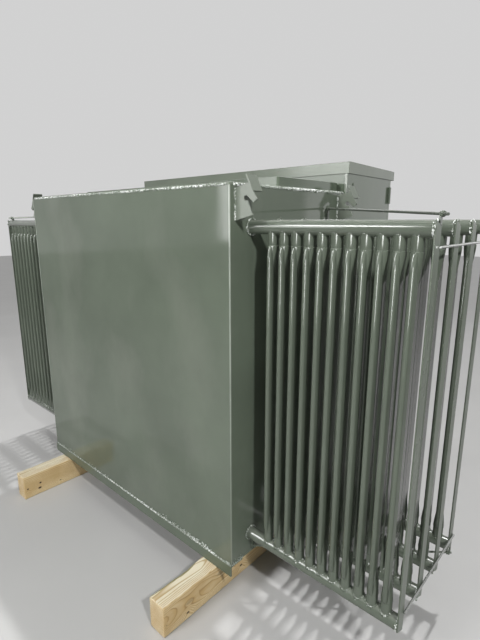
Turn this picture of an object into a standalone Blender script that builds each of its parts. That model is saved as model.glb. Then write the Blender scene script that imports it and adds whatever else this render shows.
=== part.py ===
"""Outdoor oil-filled power transformer on two timbers.

A welded steel tank with a raised cover pan, a terminal cabinet with a hood
and two closed doors in front of it, and four tube radiators on each side.
Each radiator has two round headers and a row of tubes that are round at the
headers and swaged to a flat oval between them.

The frame: +Z up, origin on the ground under the middle of the whole object,
-Y is the rear wall of the tank and +Y the doors of the cabinet.
"""

import math

import bmesh
import bpy
from mathutils import Vector

# Gap left between faces that touch.
SEAT_GAP = 0.0003

# Timbers, laid front to back under the tank.
TIMBER_WIDTH = 0.0889
TIMBER_HEIGHT = 0.1397
TIMBER_LENGTH = 1.83
TIMBER_INSET = 0.086
TIMBER_REAR_OVERHANG = 0.294
TIMBER_EDGE_RADIUS = 0.004

# Tank, a folded wrapper with a floor and a welded cover.
TANK_WIDTH = 1.5636
TANK_DEPTH = 0.7786
TANK_TOP_HEIGHT = 1.589
TANK_WALL = 0.006
TANK_CORNER_RADIUS = 0.018
TANK_CORNER_STEPS = 4
TANK_FLOOR_THICKNESS = 0.010
COVER_THICKNESS = 0.010
COVER_EDGE_INSET = 0.002

# Raised pan on the front part of the cover.
PAN_SIDE_MARGIN = 0.035
PAN_DEPTH = 0.459
PAN_HEIGHT = 0.040
PAN_SHEET = 0.004
PAN_CORNER_RADIUS = 0.014
PAN_CORNER_STEPS = 3

# Base rails, angles with the upright leg outwards.
RAIL_HEIGHT = 0.050
RAIL_DEPTH = 0.062
RAIL_THICKNESS = 0.008
RAIL_PROUD = 0.006

# Terminal cabinet in front of the tank.
CABINET_DEPTH = 0.4748
CABINET_PROUD = 0.0088
CABINET_SHEET = 0.004
CABINET_SILL_HEIGHT = 0.100
CABINET_FLANGE = 0.030
DOOR_THICKNESS = 0.026
DOOR_SHEET = 0.003
DOOR_MIDDLE_GAP = 0.004
DOOR_FLOOR_GAP = 0.020
DOOR_TOP_GAP = 0.006

# Hood of the cabinet, a shallow lid that falls towards the doors.
HOOD_BACK_HEIGHT = 0.1355
HOOD_FRONT_HEIGHT = 0.1240
HOOD_SKIRT = 0.054
HOOD_FRONT_SKIRT = 0.046
HOOD_BACK_SETBACK = 0.010
HOOD_FRONT_OVERHANG = 0.0256
HOOD_SIDE_OVERHANG = 0.005
HOOD_TAPER = 0.005
HOOD_SHEET = 0.004

# Hinges on the sides of the cabinet.
HINGE_HEIGHT = 0.084
HINGE_WIDTH = 0.032
HINGE_PLATE = 0.004
HINGE_BARREL_RADIUS = 0.006
HINGE_BARREL_SIDES = 10
HINGE_TOP_RISE = 0.041
HINGE_BOTTOM_HEIGHT = 0.200

# Radiators.
RADIATOR_FIRST_OFFSET = 0.1167
RADIATOR_PITCH = 0.1655
RADIATOR_COUNT = 4
HEADER_RADIUS = 0.0252
HEADER_SIDES = 8
HEADER_REACH = 0.658
HEADER_TOP_DROP = 0.1534
HEADER_BOTTOM_HEIGHT = 0.1494
COLLAR_RADIUS = 0.031
COLLAR_LENGTH = 0.012
TUBE_COUNT = 11
TUBE_PITCH = 0.0508
TUBE_FIRST_OFFSET = 0.103
TUBE_SIDES = 8
NECK_RADIUS = 0.0195
NECK_LENGTH = 0.038
FLARE_LENGTH = 0.028
TAPER_LENGTH = 0.090
TUBE_WIDTH = 0.060
TUBE_THICKNESS = 0.019
FLARE_THICKNESS = 0.031

# End bars, tie rods and sloping brace rods of the radiators.
END_BAR_WIDTH = 0.042
END_BAR_THICKNESS = 0.005
END_BAR_TOP_RISE = 0.0064
END_BAR_BOTTOM_DROP = 0.0214
END_BAR_FIRST_EXTRA = 0.017
END_BAR_SLANT = 0.019
ROD_RADIUS = 0.0045
ROD_SIDES = 8
TIE_TOP_DROP = 0.0486
TIE_BOTTOM_RISE = 0.0386
TIE_LAP = 0.010
TAB_THICKNESS = 0.006
TAB_WIDTH = 0.014
TAB_MARGIN = 0.007
BRACE_TOP_OUTER_RISE = 0.015
BRACE_TOP_INNER_RISE = 0.048
BRACE_BOTTOM_OUTER_DROP = 0.0214
BRACE_BOTTOM_INNER_DROP = 0.034
BRACE_INNER_REACH = 0.0165
BRACE_TOP_OUTER_END = 0.030
BRACE_BOTTOM_OUTER_END = 0.008
BRACE_INNER_END = 0.010

# Lifting lugs: an upright hook plate on the wall with a leaning flange plate.
LUG_WIDTH = 0.052
LUG_PLATE = 0.006
LUG_EDGE_MARGIN = 0.028
LUG_FRONT_MARGIN = 0.0086
LUG_TOP_DROP = 0.020
LUG_BOTTOM_DROP = 0.132
LUG_FOOT_REACH = 0.081
LUG_FOOT_DROP = 0.112
LUG_THROAT_REACH = 0.050
LUG_THROAT_DROP = 0.056
LUG_THROAT_RADIUS = 0.0095
LUG_LIP_REACH = 0.084
LUG_LIP_DROP = 0.072
LUG_NOSE_REACH = 0.100
LUG_NOSE_DROP = 0.060
LUG_SHOULDER_REACH = 0.080
LUG_SHOULDER_DROP = 0.033
LUG_CROWN_REACH = 0.066
LUG_CROWN_DROP = 0.004
LUG_FLANGE_TOP_REACH = 0.050
LUG_FLANGE_TOP_RISE = 0.022
LUG_FLANGE_FOOT_REACH = 0.079
LUG_FLANGE_FOOT_DROP = 0.034

# Positions that follow from the sizes above.
REAR_Y = TIMBER_REAR_OVERHANG - TIMBER_LENGTH / 2
BASE_Z = TIMBER_HEIGHT + SEAT_GAP
TANK_FRONT_Y = REAR_Y + TANK_DEPTH
TANK_BOTTOM_Z = BASE_Z + RAIL_HEIGHT + SEAT_GAP
TANK_TOP_Z = BASE_Z + TANK_TOP_HEIGHT
TANK_HALF_WIDTH = TANK_WIDTH / 2
CABINET_BACK_Y = TANK_FRONT_Y + SEAT_GAP
CABINET_FRONT_Y = TANK_FRONT_Y + CABINET_DEPTH
CABINET_HALF_WIDTH = TANK_HALF_WIDTH + CABINET_PROUD
DOOR_BACK_Y = CABINET_FRONT_Y - DOOR_THICKNESS
HOOD_BACK_TOP_Z = TANK_TOP_Z + HOOD_BACK_HEIGHT
HOOD_FRONT_TOP_Z = TANK_TOP_Z + HOOD_FRONT_HEIGHT
HOOD_BACK_Y = TANK_FRONT_Y + HOOD_BACK_SETBACK
HOOD_FRONT_Y = CABINET_FRONT_Y + HOOD_FRONT_OVERHANG
HOOD_SLOPE = (HOOD_FRONT_TOP_Z - HOOD_BACK_TOP_Z) / (HOOD_FRONT_Y - HOOD_BACK_Y)
HEADER_TOP_HEIGHT = TANK_TOP_HEIGHT - HEADER_TOP_DROP
END_BAR_TOP_HEIGHT = HEADER_TOP_HEIGHT + END_BAR_TOP_RISE
END_BAR_BOTTOM_HEIGHT = HEADER_BOTTOM_HEIGHT - END_BAR_BOTTOM_DROP
TIE_TOP_HEIGHT = HEADER_TOP_HEIGHT - TIE_TOP_DROP
TIE_BOTTOM_HEIGHT = HEADER_BOTTOM_HEIGHT + TIE_BOTTOM_RISE
HINGE_TOP_HEIGHT = TANK_TOP_HEIGHT + HINGE_TOP_RISE

PAINT = (0.205, 0.235, 0.195, 1.0)
PAINT_LIGHT = (0.235, 0.262, 0.222, 1.0)
PAINT_DARK = (0.170, 0.198, 0.165, 1.0)
PINE = (0.620, 0.440, 0.215, 1.0)


def clear_scene():
    """Remove every object and every unused mesh and material."""
    for item in list(bpy.data.objects):
        bpy.data.objects.remove(item, do_unlink=True)
    for mesh in list(bpy.data.meshes):
        bpy.data.meshes.remove(mesh)
    for item in list(bpy.data.materials):
        bpy.data.materials.remove(item)


def make_material(name, colour, roughness, metallic):
    """Return a plain material with one principled shader."""
    material = bpy.data.materials.new(name)
    material.use_nodes = True
    shader = material.node_tree.nodes["Principled BSDF"]
    shader.inputs["Base Color"].default_value = colour
    shader.inputs["Roughness"].default_value = roughness
    shader.inputs["Metallic"].default_value = metallic
    material.diffuse_color = colour
    return material


def mesh_from(form, name, smooth_angle=None):
    """Turn a bmesh into a mesh with its faces pointing out."""
    bmesh.ops.recalc_face_normals(form, faces=form.faces)
    mesh = bpy.data.meshes.new(name)
    form.to_mesh(mesh)
    form.free()
    if smooth_angle is not None:
        mesh.shade_smooth()
        mesh.set_sharp_from_angle(angle=math.radians(smooth_angle))
    return mesh


def place(name, mesh, material, parent, location=(0.0, 0.0, 0.0), turn=0.0):
    """Link a named object with its material under its parent."""
    item = bpy.data.objects.new(name, mesh)
    bpy.context.scene.collection.objects.link(item)
    item.parent = parent
    item.location = location
    item.rotation_euler = (0.0, 0.0, turn)
    item.data.materials.clear()
    item.data.materials.append(material)
    return item


def box_form(form, low, high):
    """Add a box between two corners to the form."""
    made = bmesh.ops.create_cube(form, size=1.0)
    low = Vector(low)
    high = Vector(high)
    size = high - low
    bmesh.ops.scale(form, vec=size, verts=made["verts"])
    bmesh.ops.translate(form, vec=(low + high) / 2, verts=made["verts"])
    return made["verts"]


def box_mesh(name, low, high, edge_radius=0.0, steps=2):
    """Return a box mesh, with rounded edges where a radius is given."""
    form = bmesh.new()
    box_form(form, low, high)
    if edge_radius > 0.0:
        bmesh.ops.bevel(
            form,
            geom=form.edges[:],
            offset=edge_radius,
            segments=steps,
            profile=0.5,
            affect="EDGES",
        )
    return mesh_from(form, name)


def prism_form(form, outline, travel):
    """Extrude a flat outline of points along a vector into a closed body."""
    verts = [form.verts.new(point) for point in outline]
    face = form.faces.new(verts)
    made = bmesh.ops.extrude_face_region(form, geom=[face])
    moved = [item for item in made["geom"] if isinstance(item, bmesh.types.BMVert)]
    bmesh.ops.translate(form, vec=travel, verts=moved)
    return form


def rounded_rectangle(low, high, radius, steps):
    """Return the points of a rectangle with rounded corners, in plan."""
    points = []
    corners = (
        (high[0] - radius, high[1] - radius, 0.0),
        (low[0] + radius, high[1] - radius, 90.0),
        (low[0] + radius, low[1] + radius, 180.0),
        (high[0] - radius, low[1] + radius, 270.0),
    )
    for x, y, start in corners:
        for step in range(steps + 1):
            angle = math.radians(start + 90.0 * step / steps)
            points.append((x + radius * math.cos(angle), y + radius * math.sin(angle)))
    return points


def bridge_rings(form, rings, closed=False):
    """Join rings of points into a tube, capped at both ends unless closed."""
    loops = [[form.verts.new(point) for point in ring] for ring in rings]
    count = len(loops[0])
    pairs = list(zip(loops[:-1], loops[1:]))
    if closed:
        pairs.append((loops[-1], loops[0]))
    for lower, upper in pairs:
        for index in range(count):
            after = (index + 1) % count
            form.faces.new((lower[index], lower[after], upper[after], upper[index]))
    if not closed:
        form.faces.new(list(reversed(loops[0])))
        form.faces.new(loops[-1])
    return form


def joined_mesh(name, first, others, operation="UNION", smooth_angle=None):
    """Return one mesh made from the first mesh and the others by Boolean."""
    base = bpy.data.objects.new(name, first)
    bpy.context.scene.collection.objects.link(base)
    helpers = []
    for index, mesh in enumerate(others):
        helper = bpy.data.objects.new(f"{name}_tool_{index}", mesh)
        bpy.context.scene.collection.objects.link(helper)
        helper.hide_render = True
        helper.display_type = "WIRE"
        helpers.append(helper)
        modifier = base.modifiers.new(f"join_{index}", "BOOLEAN")
        modifier.operation = operation
        modifier.solver = "EXACT"
        modifier.object = helper
    graph = bpy.context.evaluated_depsgraph_get()
    graph.update()
    mesh = bpy.data.meshes.new_from_object(base.evaluated_get(graph))
    mesh.name = name
    for item in [base] + helpers:
        bpy.data.objects.remove(item, do_unlink=True)
    if smooth_angle is not None:
        mesh.shade_smooth()
        mesh.set_sharp_from_angle(angle=math.radians(smooth_angle))
    return mesh


def ring_of(radius, sides, start_angle=0.0):
    """Return the points of a regular ring around zero."""
    points = []
    for index in range(sides):
        angle = start_angle + 2.0 * math.pi * index / sides
        points.append((radius * math.cos(angle), radius * math.sin(angle)))
    return points


def oval_section(half_thickness, half_width):
    """Return a round or flat oval section: thickness along X, width along Y."""
    circumscribed = half_thickness / math.cos(math.pi / TUBE_SIDES)
    points = []
    for index in range(TUBE_SIDES):
        angle = 2.0 * math.pi * (index + 0.5) / TUBE_SIDES
        x = circumscribed * math.cos(angle)
        y = circumscribed * math.sin(angle)
        y += math.copysign(half_width - half_thickness, y)
        points.append((x, y))
    return points


def tube_form(form, x):
    """Add one swaged tube that runs from header axis to header axis."""
    half_width = TUBE_WIDTH / 2
    half_thickness = TUBE_THICKNESS / 2
    low = HEADER_BOTTOM_HEIGHT
    high = HEADER_TOP_HEIGHT
    neck = HEADER_RADIUS + NECK_LENGTH
    stations = (
        (0.0, NECK_RADIUS, NECK_RADIUS),
        (neck, NECK_RADIUS, NECK_RADIUS),
        (neck + FLARE_LENGTH, FLARE_THICKNESS / 2, half_width),
        (neck + TAPER_LENGTH, half_thickness, half_width),
    )
    rings = []
    for rise, thick, wide in stations:
        section = oval_section(thick, wide)
        rings.append([(x + px, py, low + rise) for px, py in section])
    for rise, thick, wide in reversed(stations):
        section = oval_section(thick, wide)
        rings.append([(x + px, py, high - rise) for px, py in section])
    return bridge_rings(form, rings)


def header_form(form, height):
    """Add one header pipe along X with its flared weld collar at the wall."""
    start = math.pi / HEADER_SIDES
    tilt = math.pi / 2 + start
    stations = (
        (SEAT_GAP, COLLAR_RADIUS),
        (COLLAR_LENGTH, HEADER_RADIUS),
        (HEADER_REACH, HEADER_RADIUS),
    )
    rings = []
    for x, radius in stations:
        outer = radius / math.cos(start)
        section = ring_of(outer, HEADER_SIDES, tilt)
        rings.append([(x, py, height + pz) for py, pz in section])
    return bridge_rings(form, rings)


def radiator_mesh():
    """Return a radiator: two headers and a row of swaged tubes, one body."""
    headers = bmesh.new()
    header_form(headers, HEADER_BOTTOM_HEIGHT)
    header_form(headers, HEADER_TOP_HEIGHT)
    tubes = bmesh.new()
    for index in range(TUBE_COUNT):
        tube_form(tubes, TUBE_FIRST_OFFSET + index * TUBE_PITCH)
    return joined_mesh(
        "radiator",
        mesh_from(headers, "radiator_headers"),
        [mesh_from(tubes, "radiator_tubes")],
        smooth_angle=40.0,
    )


def rod_between(name, start, end, radius, sides):
    """Return the mesh of a round rod between two points."""
    start = Vector(start)
    end = Vector(end)
    along = end - start
    turn = Vector((0.0, 0.0, 1.0)).rotation_difference(along)
    rings = []
    for reach in (0.0, along.length):
        ring = []
        for px, py in ring_of(radius, sides, math.pi / sides):
            ring.append(start + turn @ Vector((px, py, reach)))
        rings.append(ring)
    form = bmesh.new()
    bridge_rings(form, rings)
    return mesh_from(form, name)


def build_timbers(root, pine):
    """Lay the two timbers under the tank."""
    centre = TANK_HALF_WIDTH - TIMBER_INSET - TIMBER_WIDTH / 2
    mesh = box_mesh(
        "timber",
        (-TIMBER_WIDTH / 2, -TIMBER_LENGTH / 2, 0.0),
        (TIMBER_WIDTH / 2, TIMBER_LENGTH / 2, TIMBER_HEIGHT),
        TIMBER_EDGE_RADIUS,
    )
    place("timber_left", mesh.copy(), pine, root, (-centre, 0.0, 0.0))
    place("timber_right", mesh, pine, root, (centre, 0.0, 0.0))


def rail_mesh(name):
    """Return an angle rail along X: upright leg at -Y, flat leg on top."""
    inner = RAIL_THICKNESS
    outline = (
        (0.0, 0.0),
        (inner, 0.0),
        (inner, RAIL_HEIGHT - inner),
        (RAIL_DEPTH, RAIL_HEIGHT - inner),
        (RAIL_DEPTH, RAIL_HEIGHT),
        (0.0, RAIL_HEIGHT),
    )
    form = bmesh.new()
    points = [(-TANK_HALF_WIDTH, y, z) for y, z in outline]
    prism_form(form, points, (TANK_WIDTH, 0.0, 0.0))
    return mesh_from(form, name)


def build_base(root, paint):
    """Put the angle rails under the rear and front edges of the tank."""
    place("base_rail_rear", rail_mesh("base_rail_rear"), paint, root,
          (0.0, REAR_Y - RAIL_PROUD, BASE_Z))
    place("base_rail_front", rail_mesh("base_rail_front"), paint, root,
          (0.0, TANK_FRONT_Y, BASE_Z), math.pi)


def tank_wrapper_mesh():
    """Return the four walls of the tank, folded with rounded corners."""
    low = TANK_BOTTOM_Z
    high = TANK_TOP_Z - COVER_THICKNESS - SEAT_GAP
    rings = []
    outer = rounded_rectangle(
        (-TANK_HALF_WIDTH, REAR_Y),
        (TANK_HALF_WIDTH, TANK_FRONT_Y),
        TANK_CORNER_RADIUS,
        TANK_CORNER_STEPS,
    )
    inner = rounded_rectangle(
        (-TANK_HALF_WIDTH + TANK_WALL, REAR_Y + TANK_WALL),
        (TANK_HALF_WIDTH - TANK_WALL, TANK_FRONT_Y - TANK_WALL),
        TANK_CORNER_RADIUS - TANK_WALL,
        TANK_CORNER_STEPS,
    )
    rings.append([(x, y, low) for x, y in outer])
    rings.append([(x, y, high) for x, y in outer])
    rings.append([(x, y, high) for x, y in inner])
    rings.append([(x, y, low) for x, y in inner])
    form = bmesh.new()
    bridge_rings(form, rings, closed=True)
    return mesh_from(form, "tank_wrapper", 30.0)


def plate_mesh(name, low, high, bottom, top, radius, steps):
    """Return a flat plate with rounded corners in plan."""
    form = bmesh.new()
    outline = rounded_rectangle(low, high, radius, steps)
    prism_form(form, [(x, y, bottom) for x, y in outline], (0.0, 0.0, top - bottom))
    return mesh_from(form, name)


def build_tank(root, paint, light):
    """Build the tank wrapper, its floor, its cover and the raised pan."""
    place("tank_wrapper", tank_wrapper_mesh(), paint, root)
    clear = TANK_WALL + SEAT_GAP
    place("tank_floor", plate_mesh(
        "tank_floor",
        (-TANK_HALF_WIDTH + clear, REAR_Y + clear),
        (TANK_HALF_WIDTH - clear, TANK_FRONT_Y - clear),
        TANK_BOTTOM_Z,
        TANK_BOTTOM_Z + TANK_FLOOR_THICKNESS,
        TANK_CORNER_RADIUS - TANK_WALL,
        TANK_CORNER_STEPS,
    ), paint, root)
    place("tank_cover", plate_mesh(
        "tank_cover",
        (-TANK_HALF_WIDTH + COVER_EDGE_INSET, REAR_Y + COVER_EDGE_INSET),
        (TANK_HALF_WIDTH - COVER_EDGE_INSET, TANK_FRONT_Y - COVER_EDGE_INSET),
        TANK_TOP_Z - COVER_THICKNESS,
        TANK_TOP_Z,
        TANK_CORNER_RADIUS,
        TANK_CORNER_STEPS,
    ), light, root)
    place("cover_pan", pan_mesh(), light, root)


def pan_mesh():
    """Return the raised pan: a sheet lid with its open side down."""
    half = TANK_HALF_WIDTH - PAN_SIDE_MARGIN
    front = TANK_FRONT_Y - COVER_EDGE_INSET
    back = front - PAN_DEPTH
    bottom = TANK_TOP_Z + SEAT_GAP
    top = bottom + PAN_HEIGHT
    outer = rounded_rectangle((-half, back), (half, front), PAN_CORNER_RADIUS, PAN_CORNER_STEPS)
    inset = PAN_SHEET
    inner = rounded_rectangle(
        (-half + inset, back + inset),
        (half - inset, front - inset),
        PAN_CORNER_RADIUS - inset,
        PAN_CORNER_STEPS,
    )
    form = bmesh.new()
    bridge_rings(form, [
        [(x, y, top - inset) for x, y in inner],
        [(x, y, bottom) for x, y in inner],
        [(x, y, bottom) for x, y in outer],
        [(x, y, top) for x, y in outer],
    ])
    return mesh_from(form, "cover_pan", 30.0)


def hood_underside(y, offset=0.0):
    """Return the height of the hood's top plane at a depth, less an offset."""
    return HOOD_BACK_TOP_Z + HOOD_SLOPE * (y - HOOD_BACK_Y) - offset


def cabinet_side_mesh(sign):
    """Return one side sheet of the cabinet, notched behind the hood's skirt."""
    sheet = CABINET_SHEET
    back = CABINET_BACK_Y
    front = DOOR_BACK_Y - SEAT_GAP
    under = HOOD_SHEET + SEAT_GAP
    notch_y = HOOD_BACK_Y + HOOD_SHEET + SEAT_GAP
    notch_z = hood_underside(HOOD_BACK_Y, HOOD_SKIRT + SEAT_GAP)
    profile = (
        (back, BASE_Z),
        (front, BASE_Z),
        (front, hood_underside(front, under)),
        (notch_y, hood_underside(notch_y, under)),
        (notch_y, notch_z),
        (back, notch_z),
    )
    start = sign * CABINET_HALF_WIDTH
    form = bmesh.new()
    prism_form(form, [(start, y, z) for y, z in profile], (-sign * sheet, 0.0, 0.0))
    return mesh_from(form, "cabinet_side")


def cabinet_shell_mesh():
    """Return the cabinet's sides, front flanges and back, one welded shell."""
    sheet = CABINET_SHEET
    half = CABINET_HALF_WIDTH
    bite = sheet / 2
    back = CABINET_BACK_Y
    front = DOOR_BACK_Y - SEAT_GAP
    panel_y = HOOD_BACK_Y + HOOD_SHEET + SEAT_GAP
    panel_top = hood_underside(panel_y + sheet, HOOD_SHEET + SEAT_GAP)
    flange_top = hood_underside(front, HOOD_SHEET + SEAT_GAP)
    ledge_top = TANK_TOP_Z
    pieces = [cabinet_side_mesh(-1)]
    for sign in (-1, 1):
        low_x, high_x = sorted((sign * (half - bite), sign * (half - CABINET_FLANGE)))
        pieces.append(box_mesh(
            "front_flange", (low_x, front - sheet, BASE_Z), (high_x, front, flange_top),
        ))
    pieces.append(box_mesh(
        "back_panel",
        (-half + bite, panel_y, ledge_top - sheet),
        (half - bite, panel_y + sheet, panel_top),
    ))
    pieces.append(box_mesh(
        "back_ledge",
        (-half + bite, back, ledge_top - sheet),
        (half - bite, panel_y + bite, ledge_top),
    ))
    pieces.append(box_mesh(
        "back_flange",
        (-half + bite, back, ledge_top - CABINET_FLANGE),
        (half - bite, back + sheet, ledge_top - bite),
    ))
    return joined_mesh("cabinet_shell", cabinet_side_mesh(1), pieces)


def hood_mesh():
    """Return the hood: a lid with a tapered skirt and its open side down."""
    half = CABINET_HALF_WIDTH + HOOD_SIDE_OVERHANG
    taper = HOOD_TAPER
    sheet = HOOD_SHEET

    def ring(inset_side, inset_end, drop_back, drop_front):
        low_y = HOOD_BACK_Y + inset_end
        high_y = HOOD_FRONT_Y - inset_end
        wide = half - inset_side
        low_z = hood_underside(low_y, drop_back)
        high_z = hood_underside(high_y, drop_front)
        return [
            (-wide, low_y, low_z),
            (wide, low_y, low_z),
            (wide, high_y, high_z),
            (-wide, high_y, high_z),
        ]

    form = bmesh.new()
    skirt_inset = min(taper, HOOD_SIDE_OVERHANG - sheet / 2)
    bridge_rings(form, [
        ring(sheet, sheet, sheet, sheet),
        ring(sheet, sheet, HOOD_SKIRT, HOOD_FRONT_SKIRT),
        ring(0.0, 0.0, HOOD_SKIRT, HOOD_FRONT_SKIRT),
        ring(0.0, 0.0, 0.0, 0.0),
    ])
    return mesh_from(form, "cabinet_hood")


def build_cabinet(root, paint, light, dark):
    """Build the cabinet: shell, sill, hood, two closed doors and hinges."""
    place("cabinet_shell", cabinet_shell_mesh(), paint, root)
    place("cabinet_hood", hood_mesh(), light, root)
    inner = CABINET_HALF_WIDTH - CABINET_SHEET - SEAT_GAP
    sill_front = DOOR_BACK_Y - CABINET_SHEET - 2 * SEAT_GAP
    place("cabinet_sill", box_mesh(
        "cabinet_sill",
        (-inner, sill_front - RAIL_THICKNESS, BASE_Z),
        (inner, sill_front, BASE_Z + CABINET_SILL_HEIGHT),
    ), paint, root)
    for name, sign in (("door_left", -1), ("door_right", 1)):
        place(name, door_mesh(name, sign), paint, root)
    for height, level in ((HINGE_TOP_HEIGHT, "top"), (HINGE_BOTTOM_HEIGHT + HINGE_HEIGHT, "bottom")):
        for side, sign in (("left", -1), ("right", 1)):
            name = f"door_hinge_{side}_{level}"
            place(name, hinge_mesh(name, sign, BASE_Z + height), dark, root)


def door_mesh(name, sign):
    """Return one door leaf: a folded pan with its open side inwards."""
    outer = CABINET_HALF_WIDTH
    middle = DOOR_MIDDLE_GAP / 2
    low_x, high_x = sorted((sign * middle, sign * outer))
    bottom = BASE_Z + DOOR_FLOOR_GAP
    top = hood_underside(CABINET_FRONT_Y, HOOD_SHEET + DOOR_TOP_GAP)
    sheet = DOOR_SHEET

    def ring(inset, y):
        return [
            (low_x + inset, y, bottom + inset),
            (high_x - inset, y, bottom + inset),
            (high_x - inset, y, top - inset),
            (low_x + inset, y, top - inset),
        ]

    form = bmesh.new()
    bridge_rings(form, [
        ring(sheet, CABINET_FRONT_Y - sheet),
        ring(sheet, DOOR_BACK_Y),
        ring(0.0, DOOR_BACK_Y),
        ring(0.0, CABINET_FRONT_Y),
    ])
    return mesh_from(form, name)


def hinge_mesh(name, sign, top):
    """Return a hinge on the side of the cabinet: strap and barrel, one body."""
    face = CABINET_HALF_WIDTH + SEAT_GAP
    low_y = CABINET_FRONT_Y - HINGE_WIDTH
    near, far = sorted((sign * face, sign * (face + HINGE_PLATE)))
    strap = box_mesh(
        name + "_strap",
        (near, low_y, top - HINGE_HEIGHT),
        (far, CABINET_FRONT_Y, top),
    )
    centre = sign * (face + HINGE_BARREL_RADIUS + SEAT_GAP)
    barrel = rod_between(
        name + "_barrel",
        (centre, DOOR_BACK_Y, top - HINGE_HEIGHT - SEAT_GAP),
        (centre, DOOR_BACK_Y, top + SEAT_GAP),
        HINGE_BARREL_RADIUS,
        HINGE_BARREL_SIDES,
    )
    return joined_mesh(name, strap, [barrel], smooth_angle=40.0)


def radiator_places():
    """Return the name, side and rear distance of each radiator."""
    places = []
    for side, sign in (("right", 1), ("left", -1)):
        for index in range(RADIATOR_COUNT):
            offset = RADIATOR_FIRST_OFFSET + index * RADIATOR_PITCH
            places.append((f"{side}_{index + 1}", sign, REAR_Y + offset))
    return places


def build_radiators(root, paint, light):
    """Build the radiators and the bars, rods and braces that tie them."""
    mesh = radiator_mesh()
    for name, sign, y in radiator_places():
        turn = 0.0 if sign > 0 else math.pi
        wall = (sign * TANK_HALF_WIDTH, y, BASE_Z)
        place(f"radiator_{name}", mesh.copy(), paint, root, wall, turn)
        end = (sign * (TANK_HALF_WIDTH + HEADER_REACH + SEAT_GAP), y, BASE_Z)
        extra = END_BAR_FIRST_EXTRA if name.endswith("1") else 0.0
        place(f"radiator_end_bar_{name}", end_bar_mesh(sign, extra), light, root, end)
    for side, sign in (("right", 1), ("left", -1)):
        build_ties(root, paint, side, sign)
        build_braces(root, light, side, sign)


def slant_at(y):
    """Return the rise of a bar's slanted end over its front corner, at a depth."""
    return END_BAR_SLANT * (0.5 - y / END_BAR_WIDTH)


def end_bar_mesh(sign, extra):
    """Return an upright flat bar with slanted ends, longer at its foot by extra."""
    half = END_BAR_WIDTH / 2
    bottom = END_BAR_BOTTOM_HEIGHT - extra
    outline = (
        (-half, bottom + slant_at(-half)),
        (half, bottom + slant_at(half)),
        (half, END_BAR_TOP_HEIGHT + slant_at(half)),
        (-half, END_BAR_TOP_HEIGHT + slant_at(-half)),
    )
    form = bmesh.new()
    points = [(0.0, y, z) for y, z in outline]
    prism_form(form, points, (sign * END_BAR_THICKNESS, 0.0, 0.0))
    return mesh_from(form, "radiator_end_bar")


def build_ties(root, paint, side, sign):
    """Build the level tie rods across the outer faces of the end bars."""
    half = END_BAR_WIDTH / 2
    first = REAR_Y + RADIATOR_FIRST_OFFSET + half - TIE_LAP
    last = REAR_Y + RADIATOR_FIRST_OFFSET + (RADIATOR_COUNT - 1) * RADIATOR_PITCH + half
    flat = ROD_RADIUS * math.cos(math.pi / ROD_SIDES)
    x = sign * (TANK_HALF_WIDTH + HEADER_REACH + END_BAR_THICKNESS + 2 * SEAT_GAP + flat)
    for level, height in (("top", TIE_TOP_HEIGHT), ("bottom", TIE_BOTTOM_HEIGHT)):
        name = f"tie_rod_{side}_{level}"
        mesh = rod_between(
            name, (x, first, BASE_Z + height), (x, last, BASE_Z + height), ROD_RADIUS, ROD_SIDES,
        )
        mesh.shade_smooth()
        mesh.set_sharp_from_angle(angle=math.radians(50.0))
        place(name, mesh, paint, root)


def header_tab_mesh(name, x, y, seat, tip):
    """Return an upright tab between a header's skin and its own tip."""
    low, high = sorted((seat, tip))
    return box_mesh(
        name,
        (x - TAB_THICKNESS / 2, y - TAB_WIDTH / 2, low),
        (x + TAB_THICKNESS / 2, y + TAB_WIDTH / 2, high),
    )


def bar_tab_mesh(name, x, y, corner, tip):
    """Return a strip that carries on from a bar's slanted end to its own tip."""
    seat = corner + math.copysign(SEAT_GAP, tip - corner)
    half = END_BAR_WIDTH / 2
    inner = half - TAB_WIDTH
    outline = (
        (y + inner, seat + slant_at(inner)),
        (y + half, seat + slant_at(half)),
        (y + half, tip),
        (y + inner, tip),
    )
    form = bmesh.new()
    points = [(x - END_BAR_THICKNESS / 2, py, pz) for py, pz in outline]
    prism_form(form, points, (END_BAR_THICKNESS, 0.0, 0.0))
    return mesh_from(form, name)


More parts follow.
